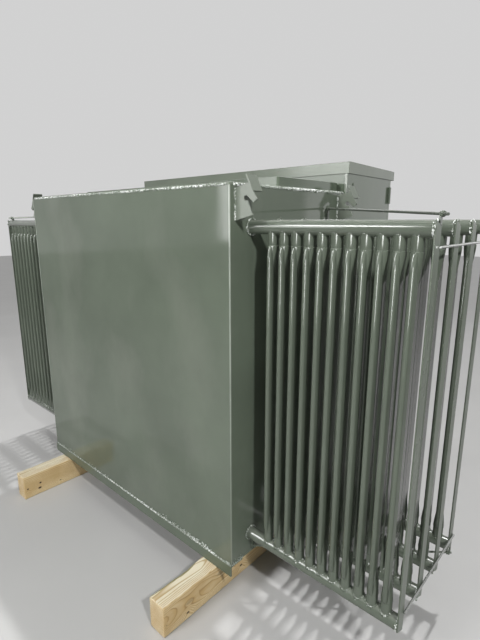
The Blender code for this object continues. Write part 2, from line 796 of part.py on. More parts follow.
def build_braces(root, paint, side, sign):
    """Build the sloping brace rods over and under the radiators of a side."""
    first = REAR_Y + RADIATOR_FIRST_OFFSET
    last = first + (RADIATOR_COUNT - 1) * RADIATOR_PITCH
    outer_x = TANK_HALF_WIDTH + HEADER_REACH + SEAT_GAP + END_BAR_THICKNESS / 2
    inner_x = TANK_HALF_WIDTH + BRACE_INNER_REACH
    hole_y = (END_BAR_WIDTH - TAB_WIDTH) / 2
    top_seat = BASE_Z + HEADER_TOP_HEIGHT + HEADER_RADIUS + SEAT_GAP
    bottom_seat = BASE_Z + HEADER_BOTTOM_HEIGHT - HEADER_RADIUS - SEAT_GAP
    top_ends = (
        Vector((sign * outer_x, first + hole_y, top_seat + BRACE_TOP_OUTER_RISE)),
        Vector((sign * inner_x, last, top_seat + BRACE_TOP_INNER_RISE)),
    )
    bottom_ends = (
        Vector((sign * outer_x, last + hole_y, bottom_seat - BRACE_BOTTOM_OUTER_DROP)),
        Vector((sign * inner_x, first, bottom_seat - BRACE_BOTTOM_INNER_DROP)),
    )
    levels = (
        ("top", top_ends, top_seat, BASE_Z + END_BAR_TOP_HEIGHT, BRACE_TOP_OUTER_END, TAB_MARGIN),
        ("bottom", bottom_ends, bottom_seat, BASE_Z + END_BAR_BOTTOM_HEIGHT,
         BRACE_BOTTOM_OUTER_END, -TAB_MARGIN),
    )
    for level, (outer, inner), seat, corner, outer_end, margin in levels:
        along = (outer - inner).normalized()
        name = f"brace_rod_{side}_{level}"
        start = inner - along * BRACE_INNER_END
        end = outer + along * outer_end
        rod = rod_between(name, start, end, ROD_RADIUS, ROD_SIDES)
        bar_y = outer.y - hole_y
        tabs = [
            bar_tab_mesh(name + "_outer_tab", outer.x, bar_y, corner, outer.z + margin),
            header_tab_mesh(name + "_inner_tab", inner.x, inner.y, seat, inner.z + margin),
        ]
        place(name, joined_mesh(name, rod, tabs, smooth_angle=50.0), paint, root)


def lug_hook_outline():
    """Return the outline of a lug's hook plate as reach from the wall and height."""
    points = [
        (0.0, -LUG_BOTTOM_DROP),
        (LUG_FOOT_REACH, -LUG_FOOT_DROP),
    ]
    for step in range(7):
        angle = math.radians(315.0 - 270.0 * step / 6)
        points.append((
            LUG_THROAT_REACH + LUG_THROAT_RADIUS * math.cos(angle),
            -LUG_THROAT_DROP + LUG_THROAT_RADIUS * math.sin(angle),
        ))
    points += [
        (LUG_LIP_REACH, -LUG_LIP_DROP),
        (LUG_NOSE_REACH, -LUG_NOSE_DROP),
        (LUG_SHOULDER_REACH, -LUG_SHOULDER_DROP),
        (LUG_CROWN_REACH, -LUG_CROWN_DROP),
        (0.0, -LUG_TOP_DROP),
    ]
    return points


def lug_flange_outline():
    """Return the outline of the leaning flange plate on the hook's outer edge."""
    top = Vector((LUG_FLANGE_TOP_REACH, LUG_FLANGE_TOP_RISE))
    foot = Vector((LUG_FLANGE_FOOT_REACH, -LUG_FLANGE_FOOT_DROP))
    along = (foot - top).normalized()
    across = Vector((-along.y, along.x)) * LUG_PLATE / 2
    return [top - across, foot - across, foot + across, top + across]


def lug_mesh(sign):
    """Return a lifting lug: the hook plate and its flange, one welded body."""
    half = LUG_WIDTH / 2
    hook = bmesh.new()
    points = [(sign * (SEAT_GAP + x), -half, z) for x, z in lug_hook_outline()]
    prism_form(hook, points, (0.0, LUG_PLATE, 0.0))
    flange = bmesh.new()
    points = [(sign * (SEAT_GAP + x), -half, z) for x, z in lug_flange_outline()]
    prism_form(flange, points, (0.0, LUG_WIDTH, 0.0))
    return joined_mesh(
        "lifting_lug", mesh_from(hook, "lug_hook"), [mesh_from(flange, "lug_flange")],
    )


def build_lugs(root, light):
    """Place the four lifting lugs near the corners of the side walls."""
    rear = REAR_Y + LUG_EDGE_MARGIN + LUG_WIDTH / 2
    front = TANK_FRONT_Y - LUG_FRONT_MARGIN - LUG_WIDTH / 2
    for side, sign in (("right", 1), ("left", -1)):
        for end, y in (("rear", rear), ("front", front)):
            place(f"lifting_lug_{side}_{end}", lug_mesh(sign), light, root,
                  (sign * TANK_HALF_WIDTH, y, TANK_TOP_Z))


def main():
    """Build the whole transformer under one empty."""
    clear_scene()
    root = bpy.data.objects.new("transformer", None)
    bpy.context.scene.collection.objects.link(root)
    paint = make_material("tank_paint", PAINT, 0.32, 0.0)
    light = make_material("light_paint", PAINT_LIGHT, 0.36, 0.0)
    dark = make_material("dark_paint", PAINT_DARK, 0.30, 0.0)
    tube = make_material("radiator_paint", PAINT, 0.30, 0.0)
    pine = make_material("pine", PINE, 0.75, 0.0)
    build_timbers(root, pine)
    build_base(root, paint)
    build_tank(root, paint, light)
    build_cabinet(root, paint, light, dark)
    build_radiators(root, tube, light)
    build_lugs(root, light)


main()
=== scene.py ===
"""Dresses the power transformer: welds, swaged tubes, bolts, enamel, pine and studio."""

from collections.abc import Iterator
from contextlib import contextmanager
from dataclasses import dataclass, field
from enum import Enum
import logging
import math
import random

import bmesh
import bpy
from mathutils import Euler, Matrix, Vector

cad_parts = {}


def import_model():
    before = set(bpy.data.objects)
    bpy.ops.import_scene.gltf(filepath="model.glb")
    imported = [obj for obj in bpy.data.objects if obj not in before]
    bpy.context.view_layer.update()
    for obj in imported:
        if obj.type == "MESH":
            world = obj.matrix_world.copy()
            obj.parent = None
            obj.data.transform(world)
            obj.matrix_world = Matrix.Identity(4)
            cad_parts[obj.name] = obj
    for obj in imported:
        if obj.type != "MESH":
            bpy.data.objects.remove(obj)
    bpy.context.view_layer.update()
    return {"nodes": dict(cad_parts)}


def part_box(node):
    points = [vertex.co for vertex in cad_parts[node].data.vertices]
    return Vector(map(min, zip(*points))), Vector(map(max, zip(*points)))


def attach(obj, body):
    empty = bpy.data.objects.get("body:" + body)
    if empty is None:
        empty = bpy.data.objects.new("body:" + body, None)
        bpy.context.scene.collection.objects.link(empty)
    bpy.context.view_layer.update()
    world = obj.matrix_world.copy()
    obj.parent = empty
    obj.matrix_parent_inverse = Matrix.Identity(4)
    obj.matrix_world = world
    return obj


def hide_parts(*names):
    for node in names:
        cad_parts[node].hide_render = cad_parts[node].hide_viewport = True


LOG = logging.getLogger("transformer")
ROOT = "root"
Colour = tuple[float, float, float]
Point = tuple[float, float, float]
Outline = list[tuple[float, float]]
Socket = bpy.types.NodeSocket
Piece = bpy.types.Object
Paint = bpy.types.Material
EVEN: Point = (1.0, 1.0, 1.0)


class Side(Enum):
    """The two sides of the tank that carry radiators."""

    RIGHT = 1
    LEFT = -1

    @property
    def word(self) -> str:
        """Return the side's word in the names of the nodes."""
        return self.name.lower()

    @property
    def flip(self) -> Matrix:
        """Return the matrix that brings a piece modelled on the right to this side."""
        return Matrix.Scale(float(self.value), 4, (1.0, 0.0, 0.0))

    def face(self, node: str) -> float:
        """Return the X of a CAD node's face on this side."""
        low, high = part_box(node)
        return high.x if self is Side.RIGHT else low.x


class Axis(Enum):
    """The axis that a turned piece or a bead runs along."""

    X = (0.0, math.pi / 2, 0.0)
    Y = (-math.pi / 2, 0.0, 0.0)
    Z = (0.0, 0.0, 0.0)

    @property
    def turn(self) -> Matrix:
        """Return the turn that lays the Z axis along this one."""
        return Euler(self.value).to_matrix().to_4x4()


class Seam(Enum):
    """The seams of the tank: the radius of the bead, its first seed and its material slot."""

    COVER = (0.0058, 41, "light_paint")
    COVER_REAR = (0.0046, 43, "light_paint")
    FOOT = (0.0042, 51, "tank_paint")
    FOOT_REAR = (0.0036, 53, "tank_paint")
    PAN = (0.0026, 61, "light_paint")
    PAN_REAR = (0.0026, 63, "light_paint")
    CABINET = (0.0038, 71, "tank_paint")


def upright_corners(*nodes: str) -> Point:
    """Return the half width, half depth and middle depth of the box round some CAD nodes."""
    boxes = [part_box(node) for node in nodes]
    rear = min(low.y for low, _ in boxes)
    front = max(high.y for _, high in boxes)
    return max(high.x for _, high in boxes), (front - rear) / 2, (rear + front) / 2


# ---------------------------------------------------------------- finishes


class Shading:
    """A material's node tree while it is being wired."""

    def __init__(self, name: str) -> None:
        """Start a material with its principled shader.

        Args:
            name: The material's name.
        """
        self.material = bpy.data.materials.new(name)
        self.material.use_nodes = True
        self.tree = self.material.node_tree
        self.shader = self.tree.nodes["Principled BSDF"]
        self.coordinates = self.add("ShaderNodeTexCoord").outputs["Object"]

    def add(self, kind: str, **values: object) -> bpy.types.Node:
        """Add a node and set its plain properties.

        Args:
            kind: The node's type.
            values: Property names and their values.

        Returns:
            The new node.
        """
        node = self.tree.nodes.new(kind)
        for key, value in values.items():
            setattr(node, key, value)
        return node

    def join(self, source: Socket, target: Socket) -> None:
        """Link one socket to another."""
        self.tree.links.new(source, target)

    def feed(self, name: str, value: Socket | float) -> None:
        """Feed one input of the shader with a socket or a number."""
        target = self.shader.inputs[name]
        if isinstance(value, float):
            target.default_value = value
        else:
            self.join(value, target)

    def parts(self, vector: Socket) -> list[Socket]:
        """Return the X, Y and Z of a vector."""
        split = self.add("ShaderNodeSeparateXYZ")
        self.join(vector, split.inputs["Vector"])
        return [split.outputs[name] for name in "XYZ"]

    def facing(self) -> list[Socket]:
        """Return the X, Y and Z of the surface's direction."""
        return self.parts(self.add("ShaderNodeNewGeometry").outputs["Normal"])

    def noise(self, scale: Point, size: float, detail: float = 3.0) -> Socket:
        """Return a noise value between 0 and 1 on stretched object coordinates.

        Args:
            scale: How much each axis is stretched before the noise.
            size: The noise's scale.
            detail: How many finer layers it has.

        Returns:
            The noise's factor socket.
        """
        mapping = self.add("ShaderNodeMapping")
        mapping.inputs["Scale"].default_value = scale
        self.join(self.coordinates, mapping.inputs["Vector"])
        noise = self.add("ShaderNodeTexNoise")
        noise.inputs["Scale"].default_value = size
        noise.inputs["Detail"].default_value = detail
        self.join(mapping.outputs["Vector"], noise.inputs["Vector"])
        return noise.outputs["Fac"]

    def ramp(self, source: Socket, stops: list[tuple[float, Colour]]) -> Socket:
        """Return a colour ramp's output over a value.

        Args:
            source: The value that the ramp reads.
            stops: Positions with their colours, in rising order.

        Returns:
            The ramp's colour socket.
        """
        node = self.add("ShaderNodeValToRGB")
        elements = node.color_ramp.elements
        while len(elements) < len(stops):
            elements.new(0.5)
        for element, (position, colour) in zip(elements, stops):
            element.position = position
            element.color = (*colour, 1.0)
        self.join(source, node.inputs["Fac"])
        return node.outputs["Color"]

    def blend(self, factor: Socket, first: Socket | Colour, second: Socket | Colour) -> Socket:
        """Return a mix of two colours.

        Args:
            factor: How much of the second colour shows.
            first: The colour or socket at 0.
            second: The colour or socket at 1.

        Returns:
            The mixed colour's socket.
        """
        node = self.add("ShaderNodeMix", data_type="RGBA")
        self.join(factor, node.inputs[0])
        for value, socket in ((first, node.inputs[6]), (second, node.inputs[7])):
            if isinstance(value, tuple):
                socket.default_value = (*value, 1.0)
            else:
                self.join(value, socket)
        return node.outputs[2]

    def calc(self, operation: str, first: Socket, second: Socket | float = 0.0) -> Socket:
        """Return the result of one math operation.

        Args:
            operation: The math node's operation.
            first: The first value.
            second: The second value or socket.

        Returns:
            The result's socket.
        """
        node = self.add("ShaderNodeMath", operation=operation)
        self.join(first, node.inputs[0])
        if isinstance(second, float):
            node.inputs[1].default_value = second
        else:
            self.join(second, node.inputs[1])
        return node.outputs[0]

    def product(self, first: Socket, second: Socket | float) -> Socket:
        """Return the product of two values."""
        return self.calc("MULTIPLY", first, second)

    def length(self, first: Socket, second: Socket) -> Socket:
        """Return the length of a flat vector from its two parts."""
        squares = self.calc("ADD", self.product(first, first), self.product(second, second))
        return self.calc("SQRT", squares)

    def spread(self, source: Socket, low: float, high: float,
               new_low: float, new_high: float) -> Socket:
        """Return a value moved from one range to another, clamped.

        Args:
            source: The value that is read.
            low: The value that gives new_low.
            high: The value that gives new_high.
            new_low: The result at the low end.
            new_high: The result at the high end.

        Returns:
            The result's socket.
        """
        node = self.add("ShaderNodeMapRange")
        numbers = (low, high, new_low, new_high)
        for name, number in zip(("From Min", "From Max", "To Min", "To Max"), numbers):
            node.inputs[name].default_value = number
        self.join(source, node.inputs["Value"])
        return node.outputs["Result"]

    def relief(self, heights: list[tuple[Socket, float]]) -> None:
        """Chain bumps into the shader's normal.

        Args:
            heights: Height sockets, each with its depth in metres.
        """
        normal = None
        for socket, depth in heights:
            bump = self.add("ShaderNodeBump")
            bump.inputs["Strength"].default_value = 1.0
            bump.inputs["Distance"].default_value = depth
            self.join(socket, bump.inputs["Height"])
            if normal is not None:
                self.join(normal, bump.inputs["Normal"])
            normal = bump.outputs["Normal"]
        self.join(normal, self.shader.inputs["Normal"])


@dataclass(frozen=True)
class EnamelFinish:
    """Sprayed gloss enamel on steel: orange peel, soft colour drift, dust, handling marks with
    painted reflection, painted glints and a painted highlight along folds.
    """

    name: str
    colour: Colour
    roughness: float = 0.14
    peel: float = 0.00004
    wave: float = 0.0
    dust: float = 0.25
    dust_colour: Colour = (0.36, 0.36, 0.32)
    metallic: float = 0.0
    flecks: float = 0.0
    fleck_colour: Colour = (0.86, 0.89, 0.86)
    smudges: float = 0.0
    fold: Point = (0.0, 0.0, 0.0)
    worn_colour: Colour = (0.47, 0.51, 0.45)
    refraction: float = 1.42
    coat_weight: float = 0.10
    coat_roughness: float = 0.05

    def build(self) -> Paint:
        """Return the enamel as a procedural material."""
        shading = Shading(self.name)
        deep = tuple(channel * 0.90 for channel in self.colour)
        pale = tuple(min(1.0, channel * 1.10) for channel in self.colour)
        drift = shading.noise(EVEN, 2.6, 4.0)
        coat = shading.ramp(drift, [(0.32, deep), (0.50, self.colour), (0.68, pale)])
        level = shading.spread(shading.facing()[2], 0.55, 0.98, 0.0, self.dust)
        patches = shading.spread(shading.noise(EVEN, 38.0, 6.0), 0.35, 0.7, 0.35, 1.0)
        settled = shading.product(level, patches)
        coat = shading.blend(settled, coat, self.dust_colour)
        # Painted glints: small pale flecks, in patches, that stand in for sparkle on the weld
        # beads.
        if self.flecks > 0.0:
            speckle = shading.noise(EVEN, 150.0, 1.0)
            bright = shading.spread(speckle, 0.47, 0.52, 0.0, self.flecks)
            reach = shading.noise(EVEN, 4.0, 2.0)
            stretch = shading.spread(reach, 0.40, 0.55, 0.20, 1.0)
            coat = shading.blend(shading.product(bright, stretch), coat, self.fleck_colour)
        # Pale cloudy patches, stretched upright: partly handling smudges, partly painted
        # reflection.
        if self.smudges > 0.0:
            cloud = shading.noise((1.0, 1.0, 0.6), 3.0, 6.0)
            smudge_and_sheen = shading.spread(cloud, 0.50, 0.72, 0.0, self.smudges)
            coat = shading.blend(smudge_and_sheen, coat, self.dust_colour)
        # Painted highlight: a pale broken band along the upright folded corners, stronger towards
        # the top.
        if self.fold[0] > 0.0:
            coat = shading.blend(self.fold_wear(shading), coat, self.worn_colour)
        shading.feed("Base Color", coat)
        smears = shading.noise((1.0, 1.0, 0.35), 9.0, 5.0)
        gloss = shading.spread(smears, 0.35, 0.72, self.roughness * 0.88, self.roughness * 1.25)
        shading.feed("Roughness", shading.calc("ADD", gloss, shading.product(settled, 0.55)))
        heights = [(shading.noise(EVEN, 420.0, 2.0), self.peel)]
        if self.wave > 0.0:
            heights.append((shading.noise((1.0, 1.0, 0.7), 3.2, 1.5), self.wave))
        shading.relief(heights)
        for name, value in (("IOR", self.refraction), ("Metallic", self.metallic),
                            ("Coat Weight", self.coat_weight),
                            ("Coat Roughness", self.coat_roughness)):
            shading.feed(name, value)
        shading.material.diffuse_color = (*self.colour, 1.0)
        return shading.material

    def fold_wear(self, shading: Shading) -> Socket:
        """Return the painted highlight along the upright folded corners, stronger towards the top.
        """
        half_x, half_y, centre_y = self.fold
        x, y, z = shading.parts(shading.coordinates)
        across = shading.calc("ADD", shading.calc("ABSOLUTE", x), -half_x)
        depth = shading.calc("ABSOLUTE", shading.calc("ADD", y, -centre_y))
        inward = shading.calc("ADD", depth, -half_y)
        uneven = shading.calc("ABSOLUTE", shading.calc("SUBTRACT", across, inward))
        highlight_band = shading.spread(uneven, 0.0022, 0.0058, 1.0, 0.0)
        highlight_noise = shading.noise((1.0, 1.0, 0.4), 14.0, 3.0)
        highlight_breakup = shading.spread(highlight_noise, 0.30, 0.55, 0.60, 1.0)
        rising = shading.spread(z, 0.45, 1.60, 0.25, 1.0)
        return shading.product(shading.product(highlight_band, highlight_breakup), rising)


@dataclass(frozen=True)
class Knot:
    """A branch stub that shows on one face of a timber, in the timber's own frame."""

    along: float
    across: float
    radius: float
    stretch: float = 1.6
    darkness: float = 1.0


@dataclass(frozen=True)
class PineFinish:
    """Sawn pale pine: growth rings about an off-centre pith, fibres, knots, a waney edge and a
    painted lighter top where the light falls.
    """

    name: str
    node: str
    pith: tuple[float, float]
    knots: tuple[Knot, ...]
    ring_spacing: float = 0.0050
    wane_end: float = -0.66
    wane_width: float = 0.024
    pale: Colour = (0.80, 0.66, 0.40)
    middle: Colour = (0.70, 0.52, 0.26)
    latewood: Colour = (0.36, 0.205, 0.075)
    bleached: Colour = (0.80, 0.75, 0.60)
    bleached_line: Colour = (0.47, 0.36, 0.19)
    bark: Colour = (0.30, 0.27, 0.12)
    stained: Colour = (0.51, 0.32, 0.12)
    heart: Colour = (0.055, 0.025, 0.010)

    def build(self) -> Paint:
        """Return the pine as a procedural material."""
        shading = Shading(self.name)
        low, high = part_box(self.node)
        place = shading.add("ShaderNodeMapping")
        place.inputs["Location"].default_value = (-(low.x + high.x) / 2, 0.0, 0.0)
        shading.join(shading.coordinates, place.inputs["Vector"])
        shading.coordinates = place.outputs["Vector"]
        x, y, z = shading.parts(shading.coordinates)
        distance = self.pith_distance(shading, x, z)
        knot_mask, distance = self.add_knots(shading, y, z, distance)
        rings = shading.calc("FRACT", shading.calc("DIVIDE", distance, self.ring_spacing))
        side = shading.ramp(rings, [
            (0.0, self.pale), (0.34, self.pale), (0.74, self.middle), (0.90, self.latewood),
            (1.0, self.pale),
        ])
        # Painted light: paler ring colours for faces that look up, as if lit from above.
        top = shading.ramp(rings, [
            (0.0, self.bleached), (0.60, self.bleached), (0.80, self.bleached_line),
            (0.93, self.bleached_line), (1.0, self.bleached),
        ])
        _, endways, upwards = shading.facing()
        grain = shading.blend(shading.spread(upwards, 0.45, 0.85, 0.0, 1.0), side, top)
        # End faces are mixed 30% towards the same paler ring colours.
        end = shading.spread(shading.calc("ABSOLUTE", endways), 0.6, 0.9, 0.0, 0.30)
        grain = shading.blend(end, grain, top)
        fibres = shading.noise((300.0, 6.0, 300.0), 1.0, 3.0)
        grain = shading.blend(shading.spread(fibres, 0.35, 0.75, 0.0, 0.35), grain, self.middle)
        stain = shading.noise((3.0, 1.6, 3.0), 2.4, 4.0)
        grain = shading.blend(shading.spread(stain, 0.50, 0.70, 0.0, 0.55), grain, self.stained)
        grain = shading.blend(self.wane_mask(shading, x, y, z), grain, self.bark)
        grain = shading.blend(knot_mask, grain, self.heart)
        shading.feed("Base Color", grain)
        shading.feed("Roughness", shading.spread(fibres, 0.3, 0.8, 0.62, 0.85))
        saw = shading.noise((40.0, 900.0, 40.0), 1.0, 2.0)
        shading.relief([(fibres, 0.0006), (saw, 0.00015), (rings, 0.0002)])
        shading.material.diffuse_color = (*self.middle, 1.0)
        return shading.material

    def pith_distance(self, shading: Shading, x: Socket, z: Socket) -> Socket:
        """Return the distance from the pith, which wanders along the timber."""
        drift_x = shading.spread(shading.noise((1.0, 0.9, 1.0), 2.3, 2.0), 0.0, 1.0, -0.013, 0.013)
        drift_z = shading.spread(shading.noise((1.3, 0.7, 1.1), 2.9, 2.0), 0.0, 1.0, -0.016, 0.016)
        across = shading.calc("ADD", shading.calc("SUBTRACT", x, self.pith[0]), drift_x)
        upward = shading.calc("ADD", shading.calc("SUBTRACT", z, self.pith[1]), drift_z)
        return shading.length(across, upward)

    def wane_mask(self, shading: Shading, x: Socket, y: Socket, z: Socket) -> Socket:
        """Return where the outside of the log shows on the missing arris."""
        low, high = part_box(self.node)
        inward = shading.calc("ADD", x, (high.x - low.x) / 2)
        down = shading.calc("ADD", shading.product(z, -1.0), high.z)
        missing = shading.spread(shading.calc("MINIMUM", inward, down), 0.0001, 0.0004, 0.0, 1.0)
        near = shading.spread(shading.calc("MAXIMUM", inward, down), self.wane_width - 0.004,
                              self.wane_width, 1.0, 0.0)
        stretch = shading.spread(y, self.wane_end - 0.02, self.wane_end, 1.0, 0.0)
        whole = shading.product(shading.product(missing, near), stretch)
        off_end = shading.spread(y, low.y + 0.0025, low.y + 0.0055, 0.0, 1.0)
        return shading.product(whole, off_end)

    def add_knots(self, shading: Shading, along: Socket, upward: Socket,
                  distance: Socket) -> tuple[Socket, Socket]:
        """Bend the rings round every knot and darken its heart.

        Args:
            shading: The tree that is being wired.
            along: The place along the timber.
            upward: The height on the timber.
            distance: The distance from the pith.

        Returns:
            The mask of the dark hearts and the bent distance.
        """
        mask = None
        for knot in self.knots:
            run = shading.calc("DIVIDE", shading.calc("SUBTRACT", along, knot.along), knot.stretch)
            rise = shading.calc("SUBTRACT", upward, knot.across)
            reach = shading.length(run, rise)
            heart = shading.spread(reach, knot.radius * 0.55, knot.radius, knot.darkness, 0.0)
            bulge = shading.spread(reach, 0.0, knot.radius * 4.5, 0.016, 0.0)
            distance = shading.calc("ADD", distance, bulge)
            mask = heart if mask is None else shading.calc("MAXIMUM", mask, heart)
        return mask, distance


@dataclass(frozen=True)
class FloorFinish:
    """A plain pale floor."""

    name: str = "pale_floor"
    colour: Colour = (0.50, 0.497, 0.49)
    roughness: float = 0.6

    def build(self) -> Paint:
        """Return the floor's material."""
        shading = Shading(self.name)
        tone = shading.noise(EVEN, 1.4, 4.0)
        deep = tuple(channel * 0.96 for channel in self.colour)
        coat = shading.ramp(tone, [(0.35, deep), (0.65, self.colour)])
        shading.feed("Base Color", coat)
        shading.feed("Roughness", self.roughness)
        return shading.material


@dataclass
class Finishes:
    """Every finish of the transformer, built once."""

    wall: Paint = field(init=False)
    tubes: Paint = field(init=False)
    bars: Paint = field(init=False)
    plain: Paint = field(init=False)
    sky: Paint = field(init=False)
    cabinet: Paint = field(init=False)
    lugs: Paint = field(init=False)
    steel: Paint = field(init=False)
    fittings: Paint = field(init=False)
    rods: Paint = field(init=False)
    welds: Paint = field(init=False)
    pine_right: Paint = field(init=False)
    pine_left: Paint = field(init=False)

    def __post_init__(self) -> None:
        """Build the materials."""
        green = (0.118, 0.147, 0.107)
        self.wall = EnamelFinish("enamel_walls", (0.127, 0.154, 0.116), roughness=0.065,
                                 wave=0.0030, smudges=0.14,
                                 fold=upright_corners("tank_wrapper")).build()
        self.tubes = EnamelFinish("enamel_tubes", (0.110, 0.131, 0.101), roughness=0.10).build()
        self.bars = EnamelFinish("enamel_bars", (0.108, 0.131, 0.098), roughness=0.30).build()
        self.plain = EnamelFinish("enamel_sheet", green, roughness=0.14, wave=0.0012).build()
        self.cabinet = EnamelFinish("enamel_cabinet", green, roughness=0.14, wave=0.0012,
                                    fold=upright_corners("cabinet_shell", "door_right")).build()
        self.sky = EnamelFinish("enamel_covers", (0.168, 0.195, 0.154), roughness=0.20, wave=0.0012,
                                dust=0.35).build()
        self.lugs = EnamelFinish("enamel_lugs", (0.162, 0.185, 0.150), roughness=0.30).build()
        self.fittings = EnamelFinish("enamel_fittings", (0.112, 0.142, 0.101),
                                     roughness=0.14).build()
        self.steel = EnamelFinish("bright_rods", (0.42, 0.43, 0.415), roughness=0.19,
                                  metallic=0.80).build()
        self.rods = EnamelFinish("enamel_rods", (0.135, 0.150, 0.128), roughness=0.24,
                                 metallic=0.25).build()
        self.welds = EnamelFinish("enamel_welds", (0.165, 0.200, 0.152), roughness=0.07, dust=0.35,
                                  flecks=1.0).build()
        self.pine_right = PineFinish(
            "pine_right", "timber_right", (-0.014, 0.082),
            (Knot(-0.792, 0.030, 0.0058), Knot(-0.780, 0.075, 0.0115, 2.6, 0.30),
             Knot(-0.900, 0.052, 0.0034, 0.5), Knot(-0.469, 0.044, 0.0065),
             Knot(-0.60, 0.094, 0.0130, 2.2, 0.35), Knot(-0.18, 0.060, 0.0060),
             Knot(0.12, 0.050, 0.0080), Knot(0.62, 0.090, 0.0060)),
        ).build()
        self.pine_left = PineFinish(
            "pine_left", "timber_left", (-0.010, 0.155),
            (Knot(-0.8206, 0.069, 0.0068, 1.3), Knot(-0.8267, 0.0385, 0.0082, 1.5),
             Knot(-0.895, 0.0603, 0.0055, 1.4), Knot(-0.700, 0.030, 0.0040),
             Knot(0.31, 0.080, 0.0070), Knot(0.78, 0.055, 0.0060)),
        ).build()


# ---------------------------------------------------------------- bench tools


def pick(*items: Piece) -> None:
    """Select only these objects and make the first one active."""
    bpy.ops.object.select_all(action="DESELECT")
    for item in items:
        item.select_set(True)
    bpy.context.view_layer.objects.active = items[0]


def fresh(name: str) -> Piece:
    """Name the object that was added last, put its place and scale into its mesh, return it."""
    item = bpy.context.object
    item.name = name
    pick(item)
    bpy.ops.object.transform_apply(location=True, rotation=True, scale=True)
    return item


def linked(name: str, data: bpy.types.ID) -> Piece:
    """Make an object from its data, put it in the scene and return it."""
    item = bpy.data.objects.new(name, data)
    bpy.context.scene.collection.objects.link(item)
    return item


@contextmanager
def editing(item: Piece) -> Iterator[None]:
    """Open an object's mesh with everything selected, and close it afterwards."""
    pick(item)
    bpy.ops.object.mode_set(mode="EDIT")
    bpy.ops.mesh.select_all(action="SELECT")
    yield
    bpy.ops.object.mode_set(mode="OBJECT")


def modify(item: Piece, kind: str, **values: object) -> None:
    """Apply one modifier to an object.

    Args:
        item: The object.
        kind: The modifier's type.
        values: Its settings.
    """
    pick(item)
    modifier = item.modifiers.new("shape", kind)
    for key, value in values.items():
        setattr(modifier, key, value)
    bpy.ops.object.modifier_apply(modifier=modifier.name)


def turn_to(along: Vector) -> Matrix:
    """Return the turn that lays the Z axis along a direction."""
    return Vector((0.0, 0.0, 1.0)).rotation_difference(along).to_matrix().to_4x4()


def joined(name: str, items: list[Piece]) -> Piece:
    """Join objects into one mesh.

    Args:
        name: The name of the joined object.
        items: The objects, the first of which stays.

    Returns:
        The joined object.
    """
    if len(items) > 1:
        pick(*items)
        bpy.ops.object.join()
    items[0].name = name
    items[0].data.name = name
    return items[0]


def copied(item: Piece, name: str, change: Matrix) -> Piece:
    """Copy an object with its own mesh, moved by a matrix in the mesh.

    Args:
        item: The object to copy.
        name: The copy's name.
        change: The matrix that moves the mesh.

    Returns:
        The copy.
    """
    mesh = item.data.copy()
    mesh.transform(change)
    if change.determinant() < 0.0:
        mesh.flip_normals()
    return linked(name, mesh)


def moved(item: Piece, name: str, change: Matrix) -> Piece:
    """Put a copy moved by a matrix in an object's place and return the copy."""
    twin = copied(item, name, change)
    bpy.data.objects.remove(item)
    return twin


def smoothed(item: Piece, angle: float) -> Piece:
    """Shade an object smooth up to an angle in degrees and return it."""
    pick(item)
    bpy.ops.object.shade_smooth_by_angle(angle=math.radians(angle))
    return item


def softened(item: Piece, width: float, segments: int = 2) -> Piece:
    """Round the sharp edges of an object.

    Args:
        item: The object.
        width: The width of the rounding.
        segments: How many faces make the round.

    Returns:
        The same object.
    """
    modify(item, "BEVEL", width=width, segments=segments, limit_method="ANGLE",
           angle_limit=math.radians(30.0), use_clamp_overlap=True)
    smoothed(item, 50.0)
    modify(item, "WEIGHTED_NORMAL", keep_sharp=True, weight=80)
    return item


def sheet_copy(source: Piece, name: str, width: float, segments: int = 2) -> Piece:
    """Copy a CAD node's mesh, merge its triangles into plain faces and round its edges.

    Args:
        source: The CAD node's object.
        name: The copy's name.
        width: The width of the rounded edges.
        segments: How many faces make the round.

    Returns:
        The copy.
    """
    twin = copied(source, name, Matrix.Identity(4))
    twin.data.materials.clear()
    with editing(twin):
        bpy.ops.mesh.remove_doubles(threshold=0.00002)
        bpy.ops.mesh.dissolve_limited(angle_limit=math.radians(0.6))
    return softened(twin, width, segments)


def turned(name: str, axis: Axis, centre: Point, profile: Outline, sides: int) -> Piece:
    """Spin a profile round an axis into a closed body.

    Args:
        name: The body's name.
        axis: The axis that it turns about.
        centre: The zero of the profile.
        profile: Places along the axis with their radii, the first and last at the axis.
        sides: How many faces go round.

    Returns:
        The turned object.
    """
    mesh = bpy.data.meshes.new(name)
    points = [(radius, 0.0, reach) for reach, radius in profile]
    edges = [(index, index + 1) for index in range(len(points) - 1)]
    mesh.from_pydata(points, edges, [])
    item = linked(name, mesh)
    with editing(item):
        bpy.ops.mesh.spin(steps=sides, angle=math.tau, center=(0.0, 0.0, 0.0), axis=(0.0, 0.0, 1.0))
        bpy.ops.mesh.select_all(action="SELECT")
        bpy.ops.mesh.remove_doubles(threshold=0.00001)
        bpy.ops.mesh.normals_make_consistent(inside=False)
    mesh.transform(Matrix.Translation(centre) @ axis.turn)
    return smoothed(item, 40.0)


